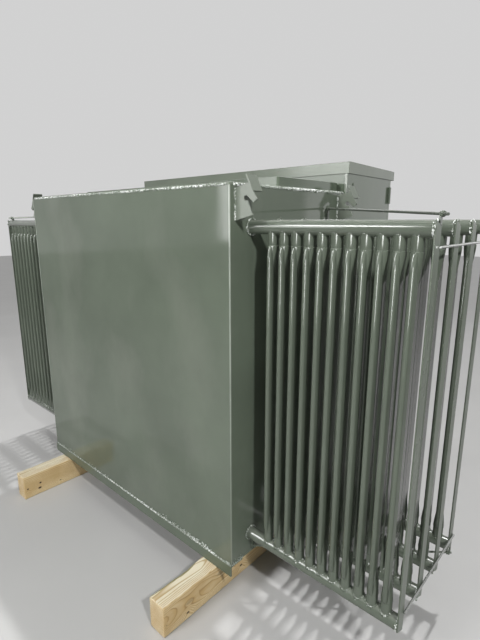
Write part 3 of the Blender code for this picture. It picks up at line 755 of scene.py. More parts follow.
def weld_bead(name: str, start: Point, end: Point, radius: float, seed: int,
              ripple: float) -> Piece:
    """Lay a rippled weld bead between two points.

    Args:
        name: The bead's name.
        start: Where it starts.
        end: Where it ends.
        radius: Its mean radius.
        seed: The seed of its unevenness.
        ripple: The length of one ripple.

    Returns:
        The bead.
    """
    chance = random.Random(seed)
    along = Vector(end) - Vector(start)
    count = max(2, round(along.length / ripple))
    step = along.length / count
    bpy.ops.mesh.primitive_cylinder_add(vertices=8, radius=radius, depth=step,
                                        location=(0.0, 0.0, step / 2), end_fill_type="NOTHING")
    item = fresh(name)
    modify(item, "ARRAY", use_relative_offset=False, use_constant_offset=True,
           constant_offset_displace=(0.0, 0.0, step), count=count,
           use_merge_vertices=True, merge_threshold=step * 0.01)
    with editing(item):
        bpy.ops.mesh.subdivide(number_cuts=1, quadcorner="STRAIGHT_CUT")
    swell = [chance.uniform(0.70, 1.25) for _ in range(count + 2)]
    for vertex in item.data.vertices:
        place = vertex.co.z / step
        index = min(count, max(0, int(place + 0.01)))
        phase = place - index
        bulge = swell[index] * (0.72 + 0.48 * math.sin(math.pi * min(1.0, max(0.0, phase + 0.1))))
        if place < 0.2 or place > count - 0.2:
            bulge *= 0.45
        vertex.co.x *= bulge
        vertex.co.y *= bulge
    item.data.transform(Matrix.Translation(start) @ turn_to(along))
    return smoothed(item, 70.0)


def weld_ring(name: str, axis: Axis, centre: Point, ring_radius: float, radius: float, sides: int,
              seed: int) -> Piece:
    """Lay a rippled weld round a pipe.

    Args:
        name: The bead's name.
        axis: The pipe's axis.
        centre: The centre of the ring.
        ring_radius: The ring's radius.
        radius: The bead's radius.
        sides: How many ripples go round.
        seed: The seed of its unevenness.

    Returns:
        The bead.
    """
    chance = random.Random(seed)
    bpy.ops.mesh.primitive_torus_add(major_radius=ring_radius, minor_radius=radius,
                                     major_segments=sides, minor_segments=6,
                                     location=(0.0, 0.0, 0.0))
    item = fresh(name)
    swell = [chance.uniform(0.75, 1.25) for _ in range(sides)]
    for vertex in item.data.vertices:
        angle = math.atan2(vertex.co.y, vertex.co.x)
        index = round(angle / math.tau * sides) % sides
        foot = Vector((math.cos(angle), math.sin(angle), 0.0)) * ring_radius
        vertex.co = foot + (vertex.co - foot) * swell[index]
    item.data.transform(Matrix.Translation(centre) @ axis.turn)
    return smoothed(item, 70.0)


def lumps(name: str, places: list[tuple[Point, float]], seed: int) -> Piece:
    """Scatter small uneven lumps of weld metal.

    Args:
        name: The name of the joined lumps.
        places: Their centres with their radii.
        seed: The seed of their unevenness.

    Returns:
        The lumps as one mesh.
    """
    chance = random.Random(seed)
    bpy.ops.mesh.primitive_ico_sphere_add(subdivisions=2, radius=1.0, location=(0.0, 0.0, 0.0))
    pattern = bpy.context.object
    for vertex in pattern.data.vertices:
        vertex.co *= chance.uniform(0.80, 1.18)
    items = []
    for index, (centre, radius) in enumerate(places):
        turn = Euler([chance.uniform(0.0, math.tau) for _ in range(3)]).to_matrix().to_4x4()
        stretch = Matrix.Diagonal((*[radius * chance.uniform(0.75, 1.25) for _ in range(3)], 1.0))
        change = Matrix.Translation(centre) @ turn @ stretch
        items.append(copied(pattern, f"{name}_{index}", change))
    bpy.data.objects.remove(pattern)
    return smoothed(joined(name, items), 80.0)


def hex_nut(name: str, centre: Point, along: Vector, across: float, depth: float) -> Piece:
    """Model a hexagon nut with chamfered corners, its middle at a point.

    Args:
        name: The nut's name.
        centre: The middle of the nut.
        along: The direction of its hole.
        across: The width over its corners.
        depth: Its thickness.

    Returns:
        The nut.
    """
    bpy.ops.mesh.primitive_cylinder_add(vertices=6, radius=across / 2, depth=depth)
    item = fresh(name)
    item.data.transform(Matrix.Translation(centre) @ turn_to(along))
    return softened(item, across * 0.07)


def dressed(item: Piece, material: Paint, slot: str, *nodes: str) -> Piece:
    """Give a finished piece its material and its place in the part.

    Args:
        item: The piece.
        material: Its finish.
        slot: Not used.
        nodes: The CAD nodes that it stands for.

    Returns:
        The piece.
    """
    item.data.materials.clear()
    item.data.materials.append(material)
    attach(item, ROOT)
    if nodes:
        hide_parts(*nodes)
    LOG.info("%s: %d faces", item.name, len(item.data.polygons))
    return item


# ---------------------------------------------------------------- sub-assemblies


@dataclass
class Assembly:
    """A group of pieces that are modelled and painted together."""

    nodes: dict[str, Piece]
    finishes: Finishes

    def sheet(self, node: str, name: str, width: float, finish: Paint, slot: str,
              segments: int = 2) -> None:
        """Copy a CAD node with rounded edges and dress the copy in its place.

        Args:
            node: The CAD node.
            name: The copy's name.
            width: The width of the rounded edges.
            finish: The copy's finish.
            slot: The material slot that it belongs to.
            segments: How many faces make the round.
        """
        dressed(sheet_copy(self.nodes[node], name, width, segments), finish, slot, node)


@dataclass
class Timbers(Assembly):
    """The two pine timbers, with worn arrises and one waney edge."""

    slice_length: float = 0.022
    arris: float = 0.0045
    margin: float = 0.021
    wane_start: float = -0.915
    wane_peak: float = -0.72
    wane_end: float = -0.655
    wane_start_width: float = 0.0035
    wane_peak_width: float = 0.0145

    def build(self) -> None:
        """Model and dress both timbers."""
        for side, finish in ((Side.RIGHT, self.finishes.pine_right),
                             (Side.LEFT, self.finishes.pine_left)):
            node = f"timber_{side.word}"
            dressed(self.worn_timber(node, side), finish, "pine", node)

    def worn_timber(self, node: str, side: Side) -> Piece:
        """Model one timber with soft, uneven arrises.

        Args:
            node: The CAD node that it stands for.
            side: The side that it lies on.

        Returns:
            The timber.
        """
        low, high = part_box(node)
        size = high - low
        bpy.ops.mesh.primitive_cube_add(size=1.0, location=(low + high) / 2, scale=size)
        item = fresh(f"{node}_sawn")
        cuts = [(Vector((0.0, low.y + self.slice_length * index, 0.0)), Vector((0.0, 1.0, 0.0)))
                for index in range(1, int(size.y / self.slice_length))]
        for inset in (self.margin, size.x - self.margin):
            cuts.append((Vector((low.x + inset, 0.0, 0.0)), Vector((1.0, 0.0, 0.0))))
        for inset in (self.margin, size.z - self.margin):
            cuts.append((Vector((0.0, 0.0, low.z + inset)), Vector((0.0, 0.0, 1.0))))
        with editing(item):
            bpy.ops.mesh.bevel(offset=self.arris, segments=4, affect="EDGES")
            for place, normal in cuts:
                bpy.ops.mesh.select_all(action="SELECT")
                bpy.ops.mesh.bisect(plane_co=place, plane_no=normal)
        self.wear(item, low, high, side)
        return smoothed(item, 40.0)

    def wear(self, item: Piece, low: Vector, high: Vector, side: Side) -> None:
        """Widen the rounding of the long arrises unevenly.

        Args:
            item: The timber.
            low: The low corner of its box.
            high: The high corner of its box.
            side: The side that it lies on.
        """
        chance = random.Random(11 + side.value)
        middle = (low + high) / 2
        growth: dict[tuple[float, bool, bool], float] = {}
        for vertex in item.data.vertices:
            right, upper = vertex.co.x > middle.x, vertex.co.z > middle.z
            face_x = high.x if right else low.x
            face_z = high.z if upper else low.z
            off_x, off_z = abs(vertex.co.x - face_x), abs(vertex.co.z - face_z)
            if off_x > self.arris * 1.01 or off_z > self.arris * 1.01:
                continue
            key = (round(vertex.co.y, 2), right, upper)
            factor = growth.setdefault(key, chance.uniform(0.75, 1.5))
            if side is Side.RIGHT and upper and not right:
                factor += self.wane(vertex.co.y) / self.arris * chance.uniform(0.94, 1.06)
            vertex.co.x = face_x + math.copysign(off_x * factor, middle.x - face_x)
            vertex.co.z = face_z + math.copysign(off_z * factor, middle.z - face_z)

    def wane(self, place: float) -> float:
        """Return how wide the missing arris is at one place along the right timber."""
        if place < self.wane_peak:
            share = (place - self.wane_start) / (self.wane_peak - self.wane_start)
            return self.wane_start_width + share * (self.wane_peak_width - self.wane_start_width)
        share = (self.wane_end - place) / (self.wane_end - self.wane_peak)
        return max(0.0, self.wane_peak_width * share)


@dataclass
class Tank(Assembly):
    """The tank, its cover and pan, its rails and its seam welds."""

    corner_radius: float = 0.018
    wall: float = 0.006
    cover_edge: float = 0.0015
    pan_edge: float = 0.0020
    rail_edge: float = 0.0015
    ripple: float = 0.0058
    bead_stand: float = 0.0006
    cover_rise: float = 0.0015
    foot_rise: float = 0.0010
    pan_rise: float = 0.0008
    foot_start: float = 0.004
    foot_run: float = 0.060
    pan_corner: float = 0.015
    corner_lumps: int = 230
    corner_middle: float = 0.50
    corner_spread: float = 0.12
    rear_lumps: int = 80
    side_lumps: int = 26

    def build(self) -> None:
        """Model and dress the tank."""
        self.nodes["tank_floor"].data.materials.clear()
        self.nodes["tank_floor"].data.materials.append(self.finishes.plain)
        self.build_wrapper()
        paints = self.finishes
        self.sheet("tank_cover", "tank_cover_plate", self.cover_edge, paints.sky, "light_paint")
        self.sheet("cover_pan", "cover_pan_pressing", self.pan_edge, paints.plain, "light_paint")
        for node in ("base_rail_rear", "base_rail_front"):
            self.sheet(node, f"{node}_angle", self.rail_edge, paints.plain, "tank_paint")
        self.build_seams()

    def build_wrapper(self) -> None:
        """Model the four walls with their folded corners."""
        low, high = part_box("tank_wrapper")
        bpy.ops.mesh.primitive_cube_add(size=1.0, location=(low + high) / 2, scale=high - low)
        item = fresh("tank_walls")
        with editing(item):
            form = bmesh.from_edit_mesh(item.data)
            for edge in form.edges:
                edge.select = abs(edge.verts[0].co.z - edge.verts[1].co.z) > 0.1
            bmesh.update_edit_mesh(item.data)
            bpy.ops.mesh.bevel(offset=self.corner_radius, segments=12, affect="EDGES")
            bpy.ops.mesh.select_all(action="DESELECT")
            form = bmesh.from_edit_mesh(item.data)
            for face in form.faces:
                face.select = abs(face.normal.z) > 0.9
            bmesh.update_edit_mesh(item.data)
            bpy.ops.mesh.delete(type="FACE")
        modify(item, "SOLIDIFY", thickness=self.wall, offset=-1.0, use_even_offset=True)
        dressed(smoothed(item, 30.0), self.finishes.wall, "tank_paint", "tank_wrapper")

    def build_seams(self) -> None:
        """Lay the welds round the cover, along the rails, round the pan and beside the cabinet."""
        low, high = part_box("tank_wrapper")
        cover_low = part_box("tank_cover")[0]
        pan_low, pan_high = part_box("cover_pan")
        seam = cover_low.z + self.cover_rise
        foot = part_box("base_rail_rear")[1].z + self.foot_rise
        level = pan_low.z + self.pan_rise
        joint = high.y - 0.0004
        for index, side in enumerate(Side):
            wall, edge, pan = self.wall_face(side), side.face("tank_cover"), side.face("cover_pan")
            self.lay(f"cover_seam_{side.word}", (edge, low.y + self.corner_radius, seam),
                     (edge, high.y - 0.008, seam), Seam.COVER, index)
            start = low.y + self.foot_start
            self.lay(f"foot_seam_{side.word}", (wall, start, foot),
                     (wall, start + self.foot_run, foot), Seam.FOOT, index)
            self.lay(f"pan_seam_{side.word}", (pan, pan_low.y + self.pan_corner, level),
                     (pan, pan_high.y - 0.02, level), Seam.PAN, index)
            self.lay(f"cabinet_seam_{side.word}", (wall, joint, low.z + 0.02),
                     (wall, joint, high.z - 0.004), Seam.CABINET, index)
        self.lay("cover_seam_rear", (low.x + self.corner_radius, cover_low.y, seam),
                 (high.x - self.corner_radius, cover_low.y, seam), Seam.COVER_REAR)
        self.lay("pan_seam_rear", (pan_low.x + self.pan_corner, pan_low.y, level),
                 (pan_high.x - self.pan_corner, pan_low.y, level), Seam.PAN_REAR)
        self.lay("foot_seam_rear", (low.x + self.foot_start, low.y - 0.0008, foot),
                 (high.x - self.foot_start, low.y - 0.0008, foot), Seam.FOOT_REAR)
        self.scatter_spatter(low, high, foot)

    def wall_face(self, side: Side) -> float:
        """Return the X at which beads lie on a side wall."""
        return side.face("tank_wrapper") + self.bead_stand * side.value

    def lay(self, name: str, start: Point, end: Point, seam: Seam, index: int = 0) -> None:
        """Lay and dress one bead of a seam.

        Args:
            name: The bead's name.
            start: Where it starts.
            end: Where it ends.
            seam: The kind of seam.
            index: Which bead of the seam it is.
        """
        radius, seed, slot = seam.value
        bead = weld_bead(name, start, end, radius, seed + index, self.ripple)
        dressed(bead, self.finishes.welds, slot)

    def scatter_spatter(self, low: Vector, high: Vector, foot: float) -> None:
        """Scatter weld spatter along the rear foot seam, densest towards the right corner.

        Args:
            low: The low corner of the tank's box.
            high: The high corner of the tank's box.
            foot: The height of the seam.
        """
        chance = random.Random(5)
        places = []
        for _ in range(self.corner_lumps):
            x = min(high.x - 0.01, chance.gauss(self.corner_middle, self.corner_spread))
            y = low.y - chance.uniform(0.0, 0.0045)
            z = foot + abs(chance.gauss(0.0, 0.007))
            places.append(((x, y, z), chance.uniform(0.0016, 0.0042)))
        for _ in range(self.rear_lumps):
            x = chance.uniform(low.x + 0.02, high.x - 0.02)
            z = foot + abs(chance.gauss(0.0, 0.008))
            places.append(((x, low.y - 0.0005, z), chance.uniform(0.0012, 0.0026)))
        for side in Side:
            wall = self.wall_face(side)
            for _ in range(self.side_lumps):
                y = low.y + chance.uniform(0.004, 0.075)
                z = foot + abs(chance.gauss(0.0, 0.008))
                places.append(((wall, y, z), chance.uniform(0.0015, 0.0034)))
        dressed(lumps("foot_spatter", places, 8), self.finishes.welds, "tank_paint")


@dataclass
class Cabinet(Assembly):
    """The terminal cabinet: shell, hood, doors, hinges and small bolts."""

    shell_edge: float = 0.0012
    hood_edge: float = 0.0035
    door_edge: float = 0.0025
    hinge_edge: float = 0.0006
    bolt_place: tuple[float, float] = (0.218, 1.765)
    bolt_profile: tuple[tuple[float, float], ...] = (
        (0.0, 0.0), (0.0, 0.0060), (0.0022, 0.0056), (0.0034, 0.0038), (0.0038, 0.0),
    )

    def build(self) -> None:
        """Model and dress the cabinet."""
        paints = self.finishes
        self.sheet("cabinet_shell", "cabinet_casing", self.shell_edge, paints.cabinet,
                   "tank_paint")
        self.sheet("cabinet_sill", "cabinet_sill_plate", self.shell_edge, paints.plain,
                   "tank_paint")
        self.sheet("cabinet_hood", "cabinet_hood_pressing", self.hood_edge, paints.sky,
                   "light_paint", 3)
        for side in Side:
            door = f"door_{side.word}"
            self.sheet(door, f"{door}_leaf", self.door_edge, paints.plain, "tank_paint", 3)
            for level in ("top", "bottom"):
                hinge = f"door_hinge_{side.word}_{level}"
                self.sheet(hinge, f"{hinge}_leaf", self.hinge_edge, paints.fittings, "dark_paint")
        self.build_bolts()

    def build_bolts(self) -> None:
        """Add the small round bolt heads beside the hood."""
        for side in Side:
            face = Matrix.Translation((side.face("cabinet_shell"), *self.bolt_place))
            head = turned(f"side_bolt_{side.word}", Axis.X, (0.0, 0.0, 0.0),
                          list(self.bolt_profile), 20)
            placed = moved(head, f"side_bolt_head_{side.word}", face @ side.flip)
            dressed(placed, self.finishes.fittings, "dark_paint")


@dataclass
class Radiator:
    """One tube radiator: two headers, eleven swaged tubes and their welds."""

    axis_inset: float = 0.031
    header_radius: float = 0.0252
    collar_radius: float = 0.0305
    collar_length: float = 0.012
    tube_count: int = 11
    tube_pitch: float = 0.0508
    first_tube: float = 0.103
    neck_radius: float = 0.0195
    neck_length: float = 0.038
    tube_width: float = 0.060
    tube_thickness: float = 0.019
    taper_length: float = 0.098
    shoulder: float = 0.0012
    edge_share: float = 0.36
    saddle_share: float = 0.80
    foot_lumps: int = 11
    foot_bead: float = 0.0030
    head_bead: float = 0.0016
    collar_bead: float = 0.0036
    cap_bead: float = 0.0022
    nubs: tuple[Point, ...] = ((0.006, 0.0045, 0.0050), (0.130, 0.0, 0.0034), (0.236, 0.0, 0.0034))

    def neck_ring(self, radius: float) -> Outline:
        """Return the round outline of a neck with the points spread as in the swage."""
        angles = (2.0, 20.0, 38.0, 57.0, 74.0, 79.0, 83.5, 87.0, 90.0)
        turns = [math.radians(angle) for angle in angles]
        return self.mirrored_ring([(radius * math.cos(turn), radius * math.sin(turn))
                                   for turn in turns])

    def swage_ring(self, share: float) -> Outline:
        """Return the outline between the round neck and the flat tube.

        The neck goes on as a cone that narrows to the middle of the flat faces, and the
        tube's two rounded edges come out beside it.

        Args:
            share: 0 at the neck and 1 at the flat tube.

        Returns:
            The outline's points.
        """
        edge = self.tube_thickness / 2
        start = self.neck_radius + self.shoulder
        least = math.hypot(edge, 0.0012)
        cone = start + (least - start) * share ** 1.45
        growth = min(1.0, share / self.edge_share) ** 0.6
        reach = start + 0.0002 + (self.tube_width / 2 - start) * growth
        hub = reach - edge
        if hub >= math.sqrt(cone * cone - edge * edge):
            turn = math.acos(edge / cone)
            first = 0.0
        else:
            rise = (cone * cone - edge * edge + hub * hub) / (2.0 * hub)
            turn = math.asin(min(1.0, rise / cone))
            first = math.asin(max(-1.0, min(1.0, (rise - hub) / edge)))
        quarter = []
        for part in (0.05, 0.30, 0.55, 0.80, 1.0):
            quarter.append((cone * math.cos(turn * part), cone * math.sin(turn * part)))
        for part in (0.05, 0.36, 0.68, 1.0):
            angle = first + (math.pi / 2 - first) * part
            quarter.append((edge * math.cos(angle), hub + edge * math.sin(angle)))
        quarter[-1] = (0.0, reach)
        return self.mirrored_ring(quarter)

    def mirrored_ring(self, quarter: Outline) -> Outline:
        """Return a whole outline from its quarter, in the order of the points' angles."""
        half = quarter + [(-x, y) for x, y in quarter[:-1]]
        points = half + [(x, -y) for x, y in half]
        return sorted(points, key=lambda point: math.atan2(point[1], point[0]))

    def stations(self) -> list[tuple[float, Outline]]:
        """Return the rings of one end of a tube with their distances from the header's axis."""
        neck = self.header_radius + self.neck_length
        rows = [
            (self.header_radius * 0.35, self.neck_ring(self.neck_radius)),
            (neck - 0.0032, self.neck_ring(self.neck_radius)),
            (neck - 0.0014, self.neck_ring(self.neck_radius - 0.0005)),
        ]
        for share in (0.01, 0.06, 0.13, 0.21, 0.30, 0.42, 0.56, 0.70, 0.85, 1.0):
            rows.append((neck + self.taper_length * share, self.swage_ring(share)))
        return rows

    def tube(self, low: float, high: float) -> Piece:
        """Model one swaged tube at X 0, Y 0 between the header axes.

        Args:
            low: The height of the lower header's axis.
            high: The height of the upper header's axis.

        Returns:
            The tube.
        """
        rows = self.stations()
        levels = [(low + reach, ring) for reach, ring in rows]
        levels += [(high - reach, ring) for reach, ring in reversed(rows)]
        place, ring = levels[0]
        bpy.ops.mesh.primitive_circle_add(vertices=len(ring), radius=self.neck_radius,
                                          fill_type="NGON", location=(0.0, 0.0, place))
        item = fresh("swaged_tube")
        with editing(item):
            for level, ring in levels:
                if place != level:
                    rise = (0.0, 0.0, level - place)
                    bpy.ops.mesh.extrude_region_move(TRANSFORM_OT_translate={"value": rise})
                form = bmesh.from_edit_mesh(item.data)
                picked = [vertex for vertex in form.verts if vertex.select]
                picked.sort(key=lambda vertex: round(
                    math.atan2(vertex.co.y, vertex.co.x + 1e-6), 5))
                for vertex, point in zip(picked, ring):
                    vertex.co = (*point, level)
                bmesh.update_edit_mesh(item.data)
                place = level
            bpy.ops.mesh.select_all(action="SELECT")
            bpy.ops.mesh.normals_make_consistent(inside=False)
        return smoothed(item, 30.0)

    def header(self, name: str, height: float, start: float, end: float) -> Piece:
        """Model one header pipe along X with its flared collar and its capped end.

        Args:
            name: The header's name.
            height: The height of its axis.
            start: Where it meets the wall.
            end: Its capped end.

        Returns:
            The header.
        """
        length = end - start
        radius = self.header_radius
        profile = [
            (0.0003, 0.0), (0.0003, self.collar_radius), (0.0030, self.collar_radius - 0.0010),
            (0.0060, radius + 0.0022), (self.collar_length, radius), (length - 0.0050, radius),
            (length - 0.0022, radius - 0.0006), (length - 0.0006, radius - 0.0022),
            (length, radius - 0.0050), (length, 0.0),
        ]
        return turned(name, Axis.X, (start, 0.0, height), profile, 48)

    def build(self, low: float, high: float, start: float, end: float) -> tuple[Piece, Piece]:
        """Model the whole radiator on the right side with its axis at Y 0.

        Args:
            low: The height of the lower header's axis.
            high: The height of the upper header's axis.
            start: Where the headers meet the wall.
            end: The capped ends of the headers.

        Returns:
            The radiator as one mesh and its welds as another.
        """
        tube = self.tube(low, high)
        parts = [
            self.header("header_low", low, start, end),
            self.header("header_high", high, start, end),
        ]
        for index in range(self.tube_count):
            x = start + self.first_tube + index * self.tube_pitch
            parts.append(copied(tube, f"tube_{index}", Matrix.Translation((x, 0.0, 0.0))))
            for level, sign, radius in ((low, 1, self.foot_bead), (high, -1, self.head_bead)):
                foot = level + sign * self.header_radius * self.saddle_share
                bead = weld_ring(f"neck_weld_{index}", Axis.Z, (x, 0.0, foot), self.neck_radius,
                                 radius, 22, 700 + index)
                self.saddle(bead, sign)
                parts.append(bead)
        bpy.data.objects.remove(tube)
        welds = [self.spatter(low, start)]
        for reach, rise, height in self.nubs:
            parts.append(self.nub(start + reach, high + self.header_radius + rise, height))
        collar, cap = self.collar_radius - 0.0012, self.header_radius - 0.0018
        for level in (low, high):
            welds.append(weld_ring("collar_weld", Axis.X, (start + 0.0030, 0.0, level), collar,
                                   self.collar_bead, 30, 811))
            welds.append(weld_ring("cap_weld", Axis.X, (end - 0.0040, 0.0, level), cap,
                                   self.cap_bead, 28, 823))
        return joined("radiator_pattern", parts), joined("weld_pattern", welds)

    def spatter(self, level: float, start: float) -> Piece:
        """Scatter the weld lumps round the feet of the tubes on the lower header."""
        chance = random.Random(77)
        places = []
        for index in range(self.tube_count):
            for _ in range(self.foot_lumps):
                turn = chance.uniform(0.0, math.tau)
                reach = self.neck_radius + chance.uniform(0.0, 0.0035)
                along, across = reach * math.cos(turn), reach * math.sin(turn)
                depth = math.sqrt(max(0.0, self.header_radius ** 2 - across ** 2))
                x = start + self.first_tube + index * self.tube_pitch + along
                places.append(((x, across, level + depth + chance.uniform(0.0, 0.0025)),
                               chance.uniform(0.0014, 0.0036)))
        return lumps("foot_lumps", places, 78)

    def saddle(self, bead: Piece, sign: int) -> None:
        """Bend a flat weld ring over the round of the header.

        Args:
            bead: The ring round a tube's neck.
            sign: 1 above the lower header and -1 under the upper one.
        """
        flat = self.header_radius * self.saddle_share
        for vertex in bead.data.vertices:
            depth = math.sqrt(max(0.0, self.header_radius ** 2 - vertex.co.y ** 2))
            vertex.co.z += sign * (depth - flat)

    def nub(self, x: float, top: float, height: float) -> Piece:
        """Model a small rounded weld nub on the header's top."""
        profile = [(-0.004, 0.0), (-0.004, 0.0062), (0.0, 0.0058), (height * 0.6, 0.0042),
                   (height, 0.0)]
        return turned("header_nub", Axis.Z, (x, 0.0, top), profile, 14)


@dataclass
class RadiatorBank(Assembly):
    """The radiators of both sides with their bars, ties and braces."""

    radiator: Radiator
    count: int = 4
    wall_gap: float = 0.0003
    inner_end: float = 0.0165
    outer_end: float = 0.6608
    outer_shift: float = 0.014
    top_heights: tuple[float, float] = (1.6491, 1.6161)
    bottom_heights: tuple[float, float] = (0.2299, 0.2425)
    nut_width: float = 0.0185
    nut_depth: float = 0.0080
    nut_shift: float = 0.0085
    bar_face: float = 0.6583
    bar_lumps: int = 26
    bar_weld_ring: float = 0.0245
    bar_edge: float = 0.0009
    rod_edge: float = 0.0004

    def build(self) -> None:
        """Model one radiator, place its copies and dress the bars and rods."""
        low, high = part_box("radiator_right_1")
        inset = self.radiator.axis_inset
        pattern, weld_pattern = self.radiator.build(low.z + inset, high.z - inset,
                                                    low.x - self.wall_gap, high.x)
        for side in Side:
            for index in range(1, self.count + 1):
                node = f"radiator_{side.word}_{index}"
                place = side.flip @ Matrix.Translation((0.0, self.row(node), 0.0))
                piece = copied(pattern, f"{node}_tubes", place)
                dressed(piece, self.finishes.tubes, "radiator_paint", node)
                welds = copied(weld_pattern, f"{node}_welds", place)
                dressed(welds, self.finishes.welds, "radiator_paint")
                bar = f"radiator_end_bar_{side.word}_{index}"
                self.sheet(bar, f"{bar}_strip", self.bar_edge, self.finishes.bars, "light_paint")
        bpy.data.objects.remove(pattern)
        bpy.data.objects.remove(weld_pattern)
        for side in Side:
            for level in ("top", "bottom"):
                self.build_rods(side, level)
        self.build_bar_welds()

    def row(self, node: str) -> float:
        """Return the Y of the middle of a radiator."""
        low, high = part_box(node)
        return (low.y + high.y) / 2

    def build_rods(self, side: Side, level: str) -> None:
        """Dress the tie rod and the brace rod of one side and level, with the brace's nuts."""
        node = f"tie_rod_{side.word}_{level}"
        low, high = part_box(node)
        radius = (high.z - low.z) / 2
        centre = ((low.x + high.x) / 2, low.y, (low.z + high.z) / 2)
        length = high.y - low.y
        profile = [(0.0, 0.0), (0.0, radius - 0.0008), (0.0008, radius), (length - 0.0008, radius),
                   (length, radius - 0.0008), (length, 0.0)]
        tie = turned(f"{node}_bar", Axis.Y, centre, profile, 20)
        dressed(tie, self.finishes.steel, "radiator_paint", node)
        brace = f"brace_rod_{side.word}_{level}"
        finish = self.finishes.rods if level == "top" else self.finishes.bars
        self.sheet(brace, f"{brace}_bar", self.rod_edge, finish, "light_paint")
        self.build_nuts(side, level)

    def build_nuts(self, side: Side, level: str) -> None:
        """Screw the nuts on the ends of one brace rod."""
        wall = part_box("tank_wrapper")[1].x
        first, last = self.row("radiator_right_1"), self.row(f"radiator_right_{self.count}")
        if level == "top":
            inner_row, outer_row, heights, outward = last, first, self.top_heights, 1
        else:
            inner_row, outer_row, heights, outward = first, last, self.bottom_heights, -1
        inner = Vector((wall + self.inner_end, inner_row, heights[0]))
        outer = Vector((wall + self.outer_end, outer_row + self.outer_shift, heights[1]))
        along = (outer - inner).normalized()
        shift = along * self.nut_shift
        for index, place in enumerate((outer + outward * shift, inner + shift)):
            nut = hex_nut("nut_pattern", tuple(place), along, self.nut_width, self.nut_depth)
            placed = moved(nut, f"brace_nut_{side.word}_{level}_{index}", side.flip)
            dressed(smoothed(placed, 50.0), self.finishes.bars, "light_paint")

    def build_bar_welds(self) -> None:
        """Add the rough welds where each end bar crosses its two headers."""
        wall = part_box("tank_wrapper")[1].x
        inset = self.radiator.axis_inset
        chance = random.Random(31)
        for side in Side:
            places = []
            for index in range(1, self.count + 1):
                low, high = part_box(f"radiator_{side.word}_{index}")
                middle = (low.y + high.y) / 2
                for height, up in ((low.z + inset, -1), (high.z - inset, 1)):
                    for _ in range(self.bar_lumps):
                        angle = math.radians(chance.uniform(-60.0, 240.0))
                        reach = self.bar_weld_ring + chance.uniform(-0.002, 0.0015)
                        x = side.value * (wall + self.bar_face - chance.uniform(-0.0004, 0.006))
                        y = middle - reach * math.cos(angle)
                        z = height + up * reach * math.sin(angle)
                        places.append(((x, y, z), chance.uniform(0.0014, 0.0034)))
            welds = lumps(f"bar_welds_{side.word}", places, 17)
            dressed(welds, self.finishes.welds, "light_paint")


@dataclass
class Lugs(Assembly):
    """The four lifting lugs with the welds beside their feet."""

    plate_edge: float = 0.0010
    weld_stop: float = 0.044
    weld_gap: float = 0.006
    bead_radius: float = 0.0044
    ripple: float = 0.0062

    def build(self) -> None:
        """Dress the lugs and lay their welds."""
        for side in Side:
            for end in ("rear", "front"):
                node = f"lifting_lug_{side.word}_{end}"
                self.sheet(node, f"{node}_plate", self.plate_edge, self.finishes.lugs,
                           "light_paint")
                low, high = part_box(node)
                wall = low.x if side is Side.RIGHT else high.x
                foot, top = low.z + 0.001, high.z - self.weld_stop
                for index, y in enumerate((low.y, low.y + self.weld_gap)):
                    bead = weld_bead(f"{node}_weld_{index}", (wall, y, foot), (wall, y, top),
                                     self.bead_radius, 90 + index, self.ripple)
                    dressed(bead, self.finishes.welds, "light_paint")


# ---------------------------------------------------------------- studio


@dataclass(frozen=True)
class SoftBox:
    """One rectangular lamp, aimed at a point, or a panel that only shows as a reflection."""

    name: str
    place: Point
    target: Point
    width: float
    height: float
    radiance: float
    sheen_only: bool = False
    beam: float = 180.0

    @property
    def power(self) -> float:
        """The power that gives this brightness straight ahead, whatever the width of the beam."""
        half = math.radians(self.beam) / 2
        share = 1.0 if self.beam >= 180.0 else 1.0 - half / math.tan(half)
        return self.radiance * math.pi * self.width * self.height * share


@dataclass(frozen=True)
class FarLamp:
    """One distant lamp with parallel light, given by the direction towards it."""

    name: str
    direction: Point
    spread: float
    level: float


